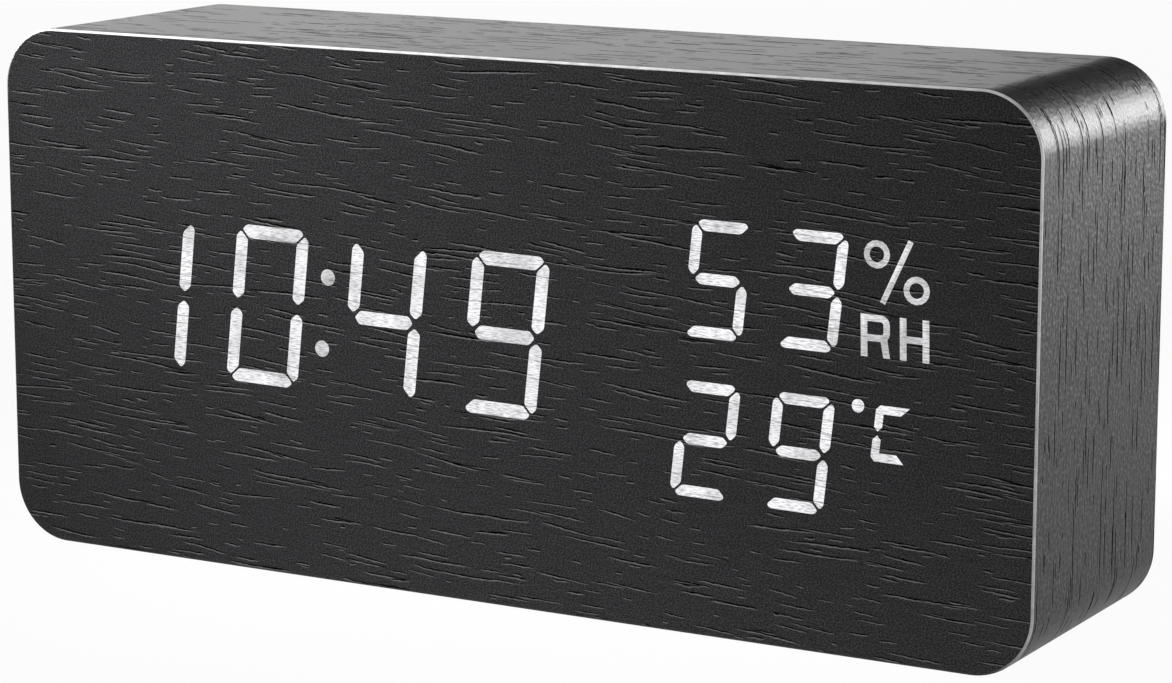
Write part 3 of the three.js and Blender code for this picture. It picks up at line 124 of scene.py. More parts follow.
card, card_tree, card_shader = new_finish("white_card")
card_fibre = add_node(card_tree, "ShaderNodeTexNoise", {"Scale": 900.0, "Detail": 3.0}).outputs["Fac"]
feed(card_shader, {
    "Base Color": ranged(card_tree, card_fibre, 0.0, 1.0, 0.86, 0.9),
    "Roughness": 0.9, "Specular IOR Level": 0.1})
card_path = add_node(card_tree, "ShaderNodeLightPath").outputs
card_seen = sums(card_tree, "MAXIMUM", card_path["Is Camera Ray"], card_path["Is Glossy Ray"])
card_seen = sums(card_tree, "MAXIMUM", card_seen, card_path["Is Transmission Ray"])
card_glow = add_node(card_tree, "ShaderNodeEmission", {"Color": (1, 1, 1, 1), "Strength": 1.0})
card_mix = add_node(card_tree, "ShaderNodeMixShader", {
    0: sums(card_tree, "MULTIPLY", card_seen, card_whiteness),
    1: card_shader.outputs[0], 2: card_glow.outputs[0]})
feed(card_tree.nodes["Material Output"], {"Surface": card_mix.outputs[0]})

bm = bmesh.new()
bmesh.ops.create_grid(bm, x_segments=1, y_segments=1, size=table_half)
move(bm, (0, 0, -table_drop))
table = as_piece("table", bm, [card])

# Studio: a room that is dim overhead, a small key soft box over the front left, a broad one behind on the
# left that shines along the top, one behind on the right for the rounded corner, and a fill far out on the
# right that lights the right side and the front's rim.
horizon_level = 0.3
overhead_level = 0.03
world = bpy.data.worlds.new("studio")
world.use_nodes = True
bpy.context.scene.world = world
sky = world.node_tree


def parts_of(tree, place):
    """A place's X, Y and Z, by name."""
    return add_node(tree, "ShaderNodeSeparateXYZ", {"Vector": place}).outputs


sky_height = parts_of(sky, add_node(sky, "ShaderNodeTexCoord").outputs["Generated"])["Z"]
feed(sky.nodes["Background"], {
    "Color": (1, 1, 1, 1),
    "Strength": ranged(sky, sky_height, 0.05, 0.35, horizon_level, overhead_level, "SMOOTHSTEP")})


def soft_box(name, place, aim, width, height, brightness, spread=180):
    """A rectangular lamp, turned towards a point. A grid on its front narrows its spread, in degrees."""
    data = bpy.data.lights.new(name, "AREA")
    data.shape = "RECTANGLE"
    data.size = width
    data.size_y = height
    data.energy = brightness * math.pi * width * height
    data.spread = math.radians(spread)
    lamp = bpy.data.objects.new(name, data)
    lamp.location = place
    lamp.rotation_euler = (Vector(aim) - Vector(place)).to_track_quat("-Z", "Y").to_euler()
    lamp.visible_camera = False
    bpy.context.collection.objects.link(lamp)


clock_middle = (0, 0, 35 * mm)
front_left = (-60 * mm, -19 * mm, 90 * mm)
over_right_side = (75 * mm, 0, 98 * mm)
soft_box("key_box", (-0.32, -0.18, 0.3), front_left, 0.08, 0.08, 7.3, spread=32)
soft_box("back_left_box", (-0.7, 1.04, 0.2), clock_middle, 0.7, 0.36, 3.9)
soft_box("back_right_box", (0.26, 0.36, 0.17), over_right_side, 0.24, 0.24, 1.5, spread=34)
soft_box("fill_box", (1.2, -0.3, 0.3), clock_middle, 0.6, 0.6, 3.4)

# Case core: the block under the film, milled from medium-density fibreboard.
# Its rear rim, which shows round the cover, is sealed with black paint.
seal_start = 15 * mm
seal_fade = 0.2 * mm


def place_on(tree):
    """A point's place on the clock, in metres."""
    return add_node(tree, "ShaderNodeTexCoord").outputs["Object"]


def clouds(tree, place, scale, detail=2.0, rough=0.5):
    """A cloudy pattern's level at a place."""
    return add_node(tree, "ShaderNodeTexNoise", {
        "Vector": place, "Scale": scale, "Detail": detail, "Roughness": rough}).outputs["Fac"]


def grey(level):
    """A plain grey."""
    return (level, level, level, 1)


def blend_tint(tree, share, first, second):
    """A colour between two colours."""
    return add_node(tree, "ShaderNodeMix", {0: share, 6: first, 7: second}, data_type="RGBA").outputs[2]


def emboss(tree, shader, relief, depth, strength=1.0):
    """Raises a surface by a relief of a depth in metres."""
    bump = add_node(tree, "ShaderNodeBump", {"Height": relief, "Strength": strength, "Distance": depth})
    feed(shader, {"Normal": bump.outputs["Normal"]})


def dress(finish, *names):
    """Gives a finish to parts whose own mesh is kept."""
    for name in names:
        nodes[name].material_slots[0].material = finish


fibreboard, core_tree, core_shader = new_finish("fibreboard")
core_place = place_on(core_tree)
core_fibre = clouds(core_tree, core_place, 2200.0, 5.0, 0.7)
core_wood = blend_tint(core_tree, core_fibre, (0.16, 0.09, 0.045, 1), (0.42, 0.28, 0.16, 1))
core_sealed = ranged(core_tree, parts_of(core_tree, core_place)["Y"], seal_start, seal_start + seal_fade)
feed(core_shader, {
    "Base Color": blend_tint(core_tree, core_sealed, core_wood, grey(0.012)), "Roughness": 0.85})
emboss(core_tree, core_shader, core_fibre, 0.05 * mm, strength=0.5)
dress(fibreboard, "case_core")

# Side film: one strip of black embossed film, wrapped round the four sides of the block and glued,
# with its wood grain running along the strip. The sizes of its grain are in millimetres.
film_black = (0.006, 0.006, 0.0064, 1)
fibre_black = (0.05, 0.049, 0.052, 1)
lip_highlight_grey = (0.17, 0.17, 0.175, 1)
pore_black = grey(0.001)
pore_edge = 0.05
pore_crowding = 1.6
pore_depth = 0.06
lip_rise = 0.02
fibre_rise = 0.03
speckle_rise = 0.035


def stretched(tree, place, along, across, shift=0.0):
    """A place on the film in steps of a pattern: so many millimetres along the grain and across it."""
    return add_node(tree, "ShaderNodeMapping", {
        "Vector": place, "Location": (shift, shift, 0),
        "Scale": (1 / (along * mm), 1 / (across * mm), 1)}).outputs["Vector"]


def swung(tree, place, turn, scale=1.0):
    """A place turned about X, Y and Z, and scaled."""
    return add_node(tree, "ShaderNodeMapping", {
        "Vector": place, "Rotation": turn, "Scale": (scale, scale, scale)}).outputs["Vector"]


def noise(tree, place, along, across, shift=0.0, detail=2.0):
    """A cloudy pattern on the film, drawn out along the grain."""
    return add_node(tree, "ShaderNodeTexNoise", {
        "Vector": stretched(tree, place, along, across, shift), "Scale": 1.0, "Detail": detail},
        noise_dimensions="2D").outputs["Fac"]


def stroke(tree, across, half_width, soft):
    """Mask of a line: one along its middle, and nothing past its half width."""
    depth = sums(tree, "SUBTRACT", half_width, sums(tree, "ABSOLUTE", across))
    return ranged(tree, depth, -soft, soft, ease="SMOOTHSTEP")


def pores(tree, place, pitch, reach, width, lost, shift, skew):
    """Masks of long thin pores, one to a cell of a stretched pattern, and of the raised lip below each."""
    steps = stretched(tree, place, *pitch, shift)
    cells = add_node(tree, "ShaderNodeTexVoronoi", {"Vector": steps, "Scale": 1.0}, voronoi_dimensions="2D")
    offset = add_node(tree, "ShaderNodeVectorMath", {
        0: steps, 1: cells.outputs["Position"]}, operation="SUBTRACT")
    aside = parts_of(tree, offset.outputs["Vector"])
    along = sums(tree, "MULTIPLY", aside["X"], pitch[0])
    across = sums(tree, "MULTIPLY", aside["Y"], pitch[1])
    chance = add_node(tree, "ShaderNodeSeparateColor", {"Color": cells.outputs["Color"]}).outputs
    longer = sums(tree, "POWER", chance["Red"], 1.7)
    half = sums(tree, "MULTIPLY_ADD", longer, (reach[1] - reach[0]) / 2, reach[0] / 2)
    crowd = add_node(tree, "ShaderNodeTexNoise", {
        "Vector": cells.outputs["Position"], "Scale": 0.35, "Detail": 1.0}, noise_dimensions="2D")
    bar = sums(tree, "MULTIPLY_ADD", crowd.outputs["Fac"], -pore_crowding, pore_crowding / 2 + lost)
    kept = sums(tree, "GREATER_THAN", chance["Green"], bar)
    slope = sums(tree, "MULTIPLY_ADD", chance["Blue"], 2 * skew, -skew)
    bent = sums(tree, "MULTIPLY_ADD", along, slope, across)
    share = sums(tree, "DIVIDE", along, half)
    taper = sums(tree, "SUBTRACT", 1.0, sums(tree, "POWER", sums(tree, "ABSOLUTE", share), 4.0))
    taper = sums(tree, "MULTIPLY", sums(tree, "MAXIMUM", taper, -0.5), kept)
    blank = sums(tree, "MULTIPLY", sums(tree, "SUBTRACT", 1.0, kept), -0.2)
    wide = sums(tree, "MULTIPLY_ADD", taper, width / 2, blank)
    below = sums(tree, "ADD", bent, width * 0.9)
    lip = stroke(tree, below, sums(tree, "MULTIPLY", wide, 0.9), pore_edge)
    return stroke(tree, bent, wide, pore_edge), lip


def grain(tree, coordinates, turn, lean, bold=1.0, drift=0.9, sparse=0.0, fleck=(0.22, 0.16)):
    """Masks of the film's pores, their lips, fibre streaks and fine speckle, with X along the grain."""
    source = add_node(tree, "ShaderNodeTexCoord").outputs[coordinates]
    laid = swung(tree, swung(tree, source, turn), (0, 0, lean))
    sway = ranged(tree, noise(tree, laid, 24, 8), 0.0, 1.0, -drift * mm, drift * mm)
    jitter = ranged(tree, noise(tree, laid, 0.9, 0.5), 0.0, 1.0, -0.11 * mm, 0.11 * mm)
    moved = add_node(tree, "ShaderNodeCombineXYZ", {"Y": sums(tree, "ADD", sway, jitter)})
    place = add_node(tree, "ShaderNodeVectorMath", {0: laid, 1: moved.outputs["Vector"]}, operation="ADD")
    place = place.outputs["Vector"]
    skew = 0.06 * drift
    layers = [
        pores(tree, place, (26, 1.4), (5, 16), 0.19 * bold, 0.2 + sparse, 0.0, skew),
        pores(tree, place, (13, 1.1), (2, 8), 0.17 * bold, 0.25 + sparse, 7.3, skew),
        pores(tree, place, (8, 1.6), (0.8, 3), 0.16 * bold, 0.4 + sparse, 3.9, skew),
    ]
    pore, lip = layers[0]
    for more_pores, more_lips in layers[1:]:
        pore = sums(tree, "MAXIMUM", pore, more_pores)
        lip = sums(tree, "MAXIMUM", lip, more_lips)
    fibre = noise(tree, place, 4.0, 0.3, detail=4.0)
    speckle = noise(tree, laid, *fleck, detail=1.0)
    return pore, lip, fibre, speckle


def grain_film(name, coordinates, turn, lean, gloss=0.06, satin=0.34, tint_and_shade=1.0, **pattern):
    """Black film, embossed with pores that have a raised lower lip, painted lighter as a highlight, over
    streaks of fibre and speckle.
    """
    finish, tree, shader = new_finish(name)
    pore, lip, fibre, speckle = grain(tree, coordinates, turn, lean, **pattern)
    # A tint share under 1 darkens the whole tint; on the side film this is painted shade.
    shade = sums(tree, "MULTIPLY_ADD", fibre, 0.7 * tint_and_shade, 0.35 * tint_and_shade)
    # Sparse bright specks lighten the tint: painted glints of the embossing, over random mottle.
    glint_specks = sums(tree, "POWER", ranged(tree, speckle, 0.2, 0.8), 2.5)
    mottle_and_glints = sums(tree, "MULTIPLY_ADD", glint_specks, 2.4, 0.25)
    tint = blend_tint(tree, sums(tree, "MULTIPLY", shade, mottle_and_glints), film_black, fibre_black)
    # Painted highlight: the lip below each pore is tinted a lighter grey, as if lit from above.
    tint = blend_tint(tree, sums(tree, "MULTIPLY", lip, 0.85 * tint_and_shade), tint, lip_highlight_grey)
    rough = sums(tree, "MULTIPLY_ADD", speckle, 0.2, satin)
    shine = sums(tree, "MULTIPLY_ADD", mottle_and_glints, 0.65 * gloss, 0.5 * gloss)
    feed(shader, {
        "Base Color": blend_tint(tree, pore, tint, pore_black),
        "Roughness": sums(tree, "MULTIPLY_ADD", pore, 0.3, rough),
        "Specular IOR Level": sums(tree, "MULTIPLY", shine, sums(tree, "SUBTRACT", 1.0, pore))})
    relief = sums(tree, "MULTIPLY", pore, -pore_depth)
    for layer, rise in ((lip, lip_rise), (fibre, fibre_rise), (speckle, speckle_rise)):
        relief = sums(tree, "MULTIPLY_ADD", layer, rise, relief)
    emboss(tree, shader, relief, mm)
    return finish


def fit(piece, body, slot, *stands_for):
    """Fixes a piece to its body and hides the parts that it stands for. Its slot is not used."""
    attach(piece, body)
    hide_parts(*stands_for)


# The side film is tinted much darker than the front film from the same roll: painted shade that darkens the
# sides and the rounded corners.
shaded_wrap_film = grain_film(
    "shaded_wrap_film", "UV", (0, 0, 0), 0.0, gloss=0.14, satin=0.33, tint_and_shade=0.3,
    bold=1.25, drift=0.2, sparse=0.25, fleck=(0.55, 0.6))
weld = 0.001 * mm
film_thickness = 0.5 * mm
case_corner = 8 * mm
corner_steps = 24
wrap_low, wrap_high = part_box("side_wrap")
straight_x = wrap_high.x - wrap_low.x - 2 * case_corner
straight_z = wrap_high.z - wrap_low.z - 2 * case_corner
bm = bmesh.new()
strip_uv = bm.loops.layers.uv.new("strip")
strip_edge = bm.edges.new((
    bm.verts.new((wrap_low.x + case_corner, wrap_low.y, wrap_low.z)),
    bm.verts.new((wrap_low.x + case_corner, wrap_high.y, wrap_low.z)),
))
strip_length = 0.0


def draw_strip(solid, edge, length, carry):
    """Draws the strip on from its end edge by one face, and gives that face its place along the film."""
    drawn = bmesh.ops.extrude_edge_only(solid, edges=[edge])["geom"]
    ends = {item for item in drawn if isinstance(item, bmesh.types.BMVert)}
    face = next(item for item in drawn if isinstance(item, bmesh.types.BMFace))
    for loop in face.loops:
        reached = strip_length + (length if loop.vert in ends else 0.0)
        loop[strip_uv].uv = (reached, loop.vert.co.y)
    carry(list(ends))
    return next(item for item in drawn if isinstance(item, bmesh.types.BMEdge) and set(item.verts) == ends)


headings = [Vector((1, 0, 0)), Vector((0, 0, 1)), Vector((-1, 0, 0)), Vector((0, 0, -1))]
corner_length = case_corner * math.pi / 2 / corner_steps
corner_turn = Matrix.Rotation(-math.pi / 2 / corner_steps, 3, "Y")
for heading in headings:
    run = straight_x if heading.x else straight_z
    strip_edge = draw_strip(
        bm, strip_edge, run, lambda ends: bmesh.ops.translate(bm, vec=heading * run, verts=ends))
    strip_length += run
    corner_centre = strip_edge.verts[0].co + Vector((-heading.z, 0, heading.x)) * case_corner
    for _ in range(corner_steps):
        strip_edge = draw_strip(
            bm, strip_edge, corner_length,
            lambda ends: bmesh.ops.rotate(bm, cent=corner_centre, matrix=corner_turn, verts=ends))
        strip_length += corner_length
bmesh.ops.remove_doubles(bm, verts=bm.verts, dist=weld)
bmesh.ops.recalc_face_normals(bm, faces=bm.faces)
bmesh.ops.solidify(bm, geom=bm.faces[:], thickness=film_thickness)
fit(as_piece("side_film", bm, [shaded_wrap_film]), "case", "grain_film", "side_wrap")

# Front film: a sheet of the same film on the block's front, unbroken, thin enough to let the light through.
# Its rim is rolled over the edge and the black is rubbed thin in places; its pale grey is a painted
# highlight along the top and down the right, fading towards the bottom.
upright = (math.radians(-90), 0, 0)
front_lean = math.radians(3.4)
front_bold = 0.88
front_finish = grain_film("front_film", "Object", upright, front_lean, bold=front_bold)
front_low, front_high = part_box("front_veneer")
face_setback = 0.02 * mm
rim_radius = 0.28 * mm
rim_near = 0.5 * mm
highlight_reach_down = 10 * mm
highlight_reach_left = 5 * mm
rim_finish, rim_tree, rim_shader = new_finish("rim_wear_and_painted_highlight")
rim_place = place_on(rim_tree)
rim_at = parts_of(rim_tree, rim_place)
# Painted highlight: the rim is pale along the top and down the right side, fading towards the bottom,
# mottled by rubbing.
rim_top_highlight = ranged(rim_tree, rim_at["Z"], front_high.z - highlight_reach_down, front_high.z - rim_near, high=0.65)
rim_right_highlight = ranged(rim_tree, rim_at["X"], front_high.x - highlight_reach_left, front_high.x - rim_near)
rim_highlight_fade = ranged(rim_tree, rim_at["Z"], front_low.z, front_high.z, low=0.35)
rim_rub = clouds(rim_tree, rim_place, 700.0, 4.0)
rim_wear_and_highlight = sums(rim_tree, "MAXIMUM", rim_top_highlight, sums(rim_tree, "MULTIPLY", rim_right_highlight, rim_highlight_fade))
rim_wear_and_highlight = sums(rim_tree, "MULTIPLY", rim_wear_and_highlight, sums(rim_tree, "ADD", rim_rub, 0.6))
feed(rim_shader, {
    "Base Color": blend_tint(rim_tree, rim_wear_and_highlight, grey(0.03), grey(0.9)),
    "Roughness": 0.4, "Specular IOR Level": 0.2})


def sheet(low, high):
    """A box between two corners."""
    solid = bmesh.new()
    bmesh.ops.create_cube(solid, size=1)
    bmesh.ops.scale(solid, vec=high - low, verts=solid.verts)
    move(solid, (low + high) / 2)
    return solid


def roll(solid, edges, radius, steps, material=-1):
    """Rounds edges."""
    bmesh.ops.bevel(
        solid, geom=edges, offset=radius, affect="EDGES", segments=steps, profile=0.5, material=material)


def run_along(edge, axis):
    """How far an edge runs along the axis of that number."""
    return abs(edge.verts[0].co[axis] - edge.verts[1].co[axis])


def round_corners(solid, radius, steps):
    """Rounds the edges that run from front to back."""
    roll(solid, [edge for edge in solid.edges if run_along(edge, 1) > 0.1 * mm], radius, steps)


def edges_at(solid, y):
    """The edges that lie in one plane across the clock."""
    return [e for e in solid.edges if all(abs(v.co.y - y) < weld for v in e.verts)]


bm = sheet(front_low + Vector((0, face_setback, 0)), front_high)
round_corners(bm, case_corner, corner_steps)
roll(bm, edges_at(bm, front_low.y + face_setback), rim_radius, 4, material=1)
front_film = as_piece("front_film", bm, [front_finish, rim_finish], crease=25)
front_film.modifiers.new("flat_front", "WEIGHTED_NORMAL").keep_sharp = True
fit(front_film, "case", "grain_film", "front_veneer")


# Rear film: a frame of the film on the back rim, glued on after the strip.
# It is cut from the same roll, so the grain runs across.
def carve(solid, tool, operation="DIFFERENCE"):
    """Cuts one mesh by another, or joins them, and gives the result."""
    body = as_piece("carved", solid, [])
    cutter = as_piece("cutter", tool, [])
    modifier = body.modifiers.new("carve", "BOOLEAN")
    modifier.operation = operation
    modifier.solver = "EXACT"
    modifier.object = cutter
    result = bmesh.new()
    result.from_object(body, bpy.context.evaluated_depsgraph_get())
    for used in (body, cutter):
        mesh = used.data
        bpy.data.objects.remove(used)
        bpy.data.meshes.remove(mesh)
    return result


rear_low, rear_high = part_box("rear_veneer")
cover_low, cover_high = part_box("rear_cover")
cover_gap = 0.3 * mm
rebate_corner = 4 * mm
beyond = 2 * mm
rebate_side = Vector((cover_gap, 0, cover_gap))
bm = sheet(rear_low, rear_high)
round_corners(bm, case_corner - film_thickness, corner_steps)
opening = sheet(
    Vector((cover_low.x, rear_low.y - beyond, cover_low.z)) - rebate_side,
    Vector((cover_high.x, rear_high.y + beyond, cover_high.z)) + rebate_side)
round_corners(opening, rebate_corner, 12)
rear_finish = grain_film("rear_film", "Object", upright, 0.0)
fit(as_piece("rear_film", carve(bm, opening), [rear_finish]), "case", "grain_film", "rear_veneer")

# Display: a milky sheet behind the film, lit from behind. The film's pores and fibres darken the light
# in fine streaks along each character, and the lamps of the colon and the upper legend are weaker.
colon_middle = -24.1 * mm
colon_reach = 2.6 * mm
legend_start = 51 * mm
legend_low = 36 * mm
lamp_loss = 0.25
tip_radius = 0.3 * mm
light_finish, light_tree, light_shader = new_finish("lit_characters")
light_pore = grain(light_tree, "Object", upright, front_lean, bold=front_bold)[0]
light_place = place_on(light_tree)
light_flat = swung(light_tree, light_place, upright)
light_fibre = noise(light_tree, light_flat, 0.9, 0.15, detail=4.0)
light_cloud = noise(light_tree, light_flat, 5.0, 5.0, 2.7)
light_at = parts_of(light_tree, light_place)
colon_side = sums(light_tree, "ABSOLUTE", sums(light_tree, "SUBTRACT", light_at["X"], colon_middle))
colon_lamp = sums(light_tree, "LESS_THAN", colon_side, colon_reach)
legend_lamp = sums(
    light_tree, "MULTIPLY", sums(light_tree, "GREATER_THAN", light_at["X"], legend_start),
    sums(light_tree, "GREATER_THAN", light_at["Z"], legend_low))
weak_lamp = sums(light_tree, "MAXIMUM", colon_lamp, legend_lamp)
light_level = sums(light_tree, "MULTIPLY_ADD", weak_lamp, -lamp_loss, 1.0)
for share in (
        ranged(light_tree, light_fibre, 0.3, 0.58, 0.45, 0.95),
        ranged(light_tree, light_cloud, 0.3, 0.6, 0.75, 1.05),
        sums(light_tree, "MULTIPLY_ADD", light_pore, -0.45, 1.0)):
    light_level = sums(light_tree, "MULTIPLY", light_level, share)
feed(light_shader, {
    "Emission Color": (0.98, 0.975, 1.0, 1), "Emission Strength": light_level,
    "Base Color": grey(0.05), "Roughness": 0.5})
bm = bmesh.new()
bm.from_mesh(nodes["display_diffuser"].data)
bmesh.ops.remove_doubles(bm, verts=bm.verts, dist=weld)
digit_edges = [e for e in bm.edges if all(v.co.x < legend_start for v in e.verts)]
digit_verts = [v for v in bm.verts if v.co.x < legend_start]
bmesh.ops.dissolve_limit(bm, angle_limit=math.radians(1), verts=digit_verts, edges=digit_edges)
tips = [e for e in bm.edges if run_along(e, 1) > 0.2 * mm
        and e.is_convex and e.calc_face_angle(0) > math.radians(30)]
roll(bm, [e for e in tips if e.verts[0].co.x < legend_start], tip_radius, 4)
fit(as_piece("lit_display", bm, [light_finish]), "case", "display_light", "display_diffuser")


# Light box: a white moulding behind the milky sheet, with a cell to each stroke of a character,
# which keeps the light of one stroke out of the next.
def moulded(name, dark, light, rough, pitch=0.35, depth=0.02):
    """Moulded plastic with the fine texture of its mould, whose pitch and depth are in millimetres."""
    finish, tree, shader = new_finish(name)
    place = place_on(tree)
    texture = clouds(tree, place, 1 / (pitch * mm))
    cloud = clouds(tree, place, 70.0, 3.0)
    share = sums(tree, "MULTIPLY", sums(tree, "ADD", texture, cloud), 0.5)
    feed(shader, {
        "Base Color": blend_tint(tree, share, dark, light),
        "Roughness": sums(tree, "MULTIPLY_ADD", cloud, 0.2, rough - 0.1)})
    emboss(tree, shader, texture, depth * mm)
    return finish


dress(moulded("reflector_white", grey(0.7), grey(0.8), 0.55), "display_reflector")


# Boards: glass fibre under green solder mask with tinned dots of copper. One stands behind the light box
# with a small white lamp to each cell, and the other is screwed to the posts of the rear cover.
def circuit_board(name, lamps_before):
    """Green mask over copper lines and tinned dots. What lies before one depth is the pale lamps."""
    finish, tree, shader = new_finish(name)
    place = place_on(tree)
    flat = swung(tree, place, upright, 1 / mm)
    lines = add_node(tree, "ShaderNodeTexBrick", {
        "Vector": flat, "Scale": 1.0, "Mortar Size": 0.16, "Mortar Smooth": 0.1,
        "Brick Width": 26.0, "Row Height": 1.27}).outputs["Fac"]
    routed = clouds(tree, flat, 0.11)
    lines = sums(tree, "MULTIPLY", lines, sums(tree, "GREATER_THAN", routed, 0.47))
    dots = add_node(tree, "ShaderNodeTexVoronoi", {"Vector": flat, "Scale": 0.3}, voronoi_dimensions="2D")
    tinned = sums(tree, "LESS_THAN", dots.outputs["Distance"], 0.1)
    tinned = sums(tree, "MULTIPLY", tinned, sums(tree, "GREATER_THAN", routed, 0.5))
    lamps = sums(tree, "LESS_THAN", parts_of(tree, place)["Y"], lamps_before)
    tint = blend_tint(tree, lines, (0.004, 0.04, 0.014, 1), (0.012, 0.09, 0.036, 1))
    tint = blend_tint(tree, tinned, tint, (0.6, 0.6, 0.58, 1))
    feed(shader, {
        "Base Color": blend_tint(tree, lamps, tint, (0.8, 0.75, 0.5, 1)),
        "Roughness": sums(tree, "MULTIPLY_ADD", routed, 0.2, 0.25)})
    emboss(tree, shader, sums(tree, "MAXIMUM", lines, tinned), 0.03 * mm)
    return finish


lamp_height = 0.6 * mm
dress(circuit_board("display_board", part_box("display_board")[0].y + lamp_height), "display_board")
dress(circuit_board("control_board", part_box("control_board")[0].y), "control_board")


# Power socket: a shell bent from steel sheet and nickel plated, round a moulded tongue,
# soldered to the edge of the control board.
def plated(name, colour, rough):
    """Plated metal, duller in clouds and finely scratched."""
    finish, tree, shader = new_finish(name)
    place = place_on(tree)
    cloud = clouds(tree, place, 250.0, 4.0)
    drawn = add_node(tree, "ShaderNodeMapping", {"Vector": place, "Scale": (400, 6000, 6000)})
    dull = tuple(0.72 * level for level in colour[:3]) + (1,)
    feed(shader, {
        "Base Color": blend_tint(tree, cloud, dull, colour), "Metallic": 1.0,
        "Roughness": sums(tree, "MULTIPLY_ADD", cloud, 0.24, rough - 0.12)})
    emboss(tree, shader, clouds(tree, drawn.outputs["Vector"], 1.0), 0.004 * mm)
    return finish


nickel = plated("contact_nickel", (0.66, 0.64, 0.6, 1), 0.32)
package_black = moulded("chip_black", grey(0.008), grey(0.02), 0.5, 0.12, 0.01)
dress(nickel, "usb_shell")
dress(package_black, "usb_tongue")

# Moulded parts on the boards: the headers, the climate sensor's cage, the switches and the coin cell's
# holder, each soldered down.
key_names = ("set", "up", "down")
connector_white = moulded("connector_white", (0.62, 0.58, 0.48, 1), (0.72, 0.68, 0.58, 1), 0.45)
dress(package_black, "coin_cell_holder", *(f"{name}_switch" for name in key_names))
dress(connector_white, "display_header", "control_header")
dress(moulded("sensor_white", grey(0.6), grey(0.7), 0.5), "climate_sensor")


# Screws: rolled steel, zinc plated, with a pan head and a cross recess. Four hold the rear cover,
# four the display board and four the control board. Their sizes are in millimetres.
def turned(profile, steps=40):
    """A solid turned about the Y axis, from points of radius and depth in millimetres."""
    solid = bmesh.new()
    points = [solid.verts.new((radius * mm, depth * mm, 0)) for radius, depth in profile]
    lines = [solid.edges.new(pair) for pair in zip(points, points[1:])]
    bmesh.ops.spin(
        solid, geom=points + lines, cent=(0, 0, 0), axis=(0, 1, 0), angle=2 * math.pi, steps=steps,
        use_merge=True)
    bmesh.ops.remove_doubles(solid, verts=solid.verts, dist=weld)
    bmesh.ops.recalc_face_normals(solid, faces=solid.faces)
    return solid


def block(width, depth, height, middle=(0, 0, 0)):
    """A box of a size in millimetres about a point in millimetres."""
    half = Vector((width, depth, height)) * mm / 2
    return sheet(Vector(middle) * mm - half, Vector(middle) * mm + half)


def arc(middle, radius, start, end, steps):
    """Points of radius and depth along a round corner, with angles in degrees."""
    angles = [math.radians(start + (end - start) * step / steps) for step in range(steps + 1)]
    return [(middle[0] + radius * math.cos(a), middle[1] + radius * math.sin(a)) for a in angles]


def turn_about(solid, axis, angle):
    """Turns a whole mesh about one of the axes through the origin."""
    bmesh.ops.rotate(solid, cent=(0, 0, 0), matrix=Matrix.Rotation(angle, 3, axis), verts=solid.verts)


def middle_of(node):
    """The middle of a part."""
    low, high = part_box(node)
    return (low + high) / 2


def set_down(solid, node, y):
    """Moves a solid that stands on the Y axis to the middle of a part, as far back as y says."""
    middle = middle_of(node)
    move(solid, (middle.x, y, middle.z))


screw_steel = plated("screw_steel", (0.6, 0.6, 0.62, 1), 0.3)
thread_pitch = 0.8
point_length = 0.6
neck_length = 0.5
head_edge = 0.35
cross_length = 2.4
cross_width = 0.5
cross_depth = 0.8


def turned_screw(node, head_radius, head_height, shank_radius, outward):
    """A screw in the place of its plain part, with its head outward along Y or, at -1, the other way."""
    low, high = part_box(node)
    length = (high.y - low.y) / mm - head_height
    root = shank_radius * 0.76
    crest = shank_radius * 0.98
    profile = [(0, -length), (shank_radius * 0.4, -length)]
    for turn in range(int((length - 2 * point_length) / thread_pitch)):
        depth = -length + point_length + turn * thread_pitch
        profile += [(root, depth), (crest, depth + thread_pitch / 2)]
    profile += [(root, -neck_length), (root, 0), (head_radius - 0.1, 0)]
    profile += arc((head_radius - head_edge, head_edge), head_edge, -60, 30, 4)
    profile += [(head_radius * 0.8, head_height * 0.82), (head_radius * 0.5, head_height * 0.96)]
    profile += [(0, head_height)]
    recess_middle = head_height - cross_depth / 2 + 0.5
    across = block(cross_length, cross_depth + 1, cross_width, (0, recess_middle, 0))
    down = block(cross_width, cross_depth + 1, cross_length, (0, recess_middle, 0))
    solid = carve(turned(profile), carve(across, down, "UNION"))
    turn_about(solid, "X", 0 if outward > 0 else math.pi)
    set_down(solid, node, high.y - head_height * mm if outward > 0 else low.y + head_height * mm)
    fit(as_piece(f"turned_{node}", solid, [screw_steel]), "case", "screw_steel", node)


for number in range(1, 5):
    turned_screw(f"cover_screw_{number}", 2.2, 1.5, 1.2, 1)
    turned_screw(f"display_screw_{number}", 1.8, 1.3, 0.9, 1)
    turned_screw(f"control_screw_{number}", 1.8, 1.3, 0.9, -1)

# Chips: epoxy moulded round a frame of tinned copper, whose legs are bent down to the boards and soldered.
# A dimple marks the corner of the first leg. Sizes in millimetres.
leg_tin = plated("leg_tin", (0.62, 0.62, 0.61, 1), 0.35)
leg_pitch = 1.27
leg_width = 0.45
leg_shoulder = 0.4
leg_knee = 0.6
leg_reach = 1.2
leg_thickness = 0.2
package_lift = 0.15
package_edge = 0.25
dimple_radius = 0.5
dimple_depth = 0.15
dimple_inset = 1.1


def second_finish(faces):
    """Gives faces the second of their piece's finishes."""
    for face in faces:
        face.material_index = 1


def gather(*shapes):
    """Several meshes as one."""
    whole = bmesh.new()
    for shape in shapes:
        mesh = bpy.data.meshes.new("gathered")
        shape.to_mesh(mesh)
        shape.free()
        whole.from_mesh(mesh)
        bpy.data.meshes.remove(mesh)
    return whole


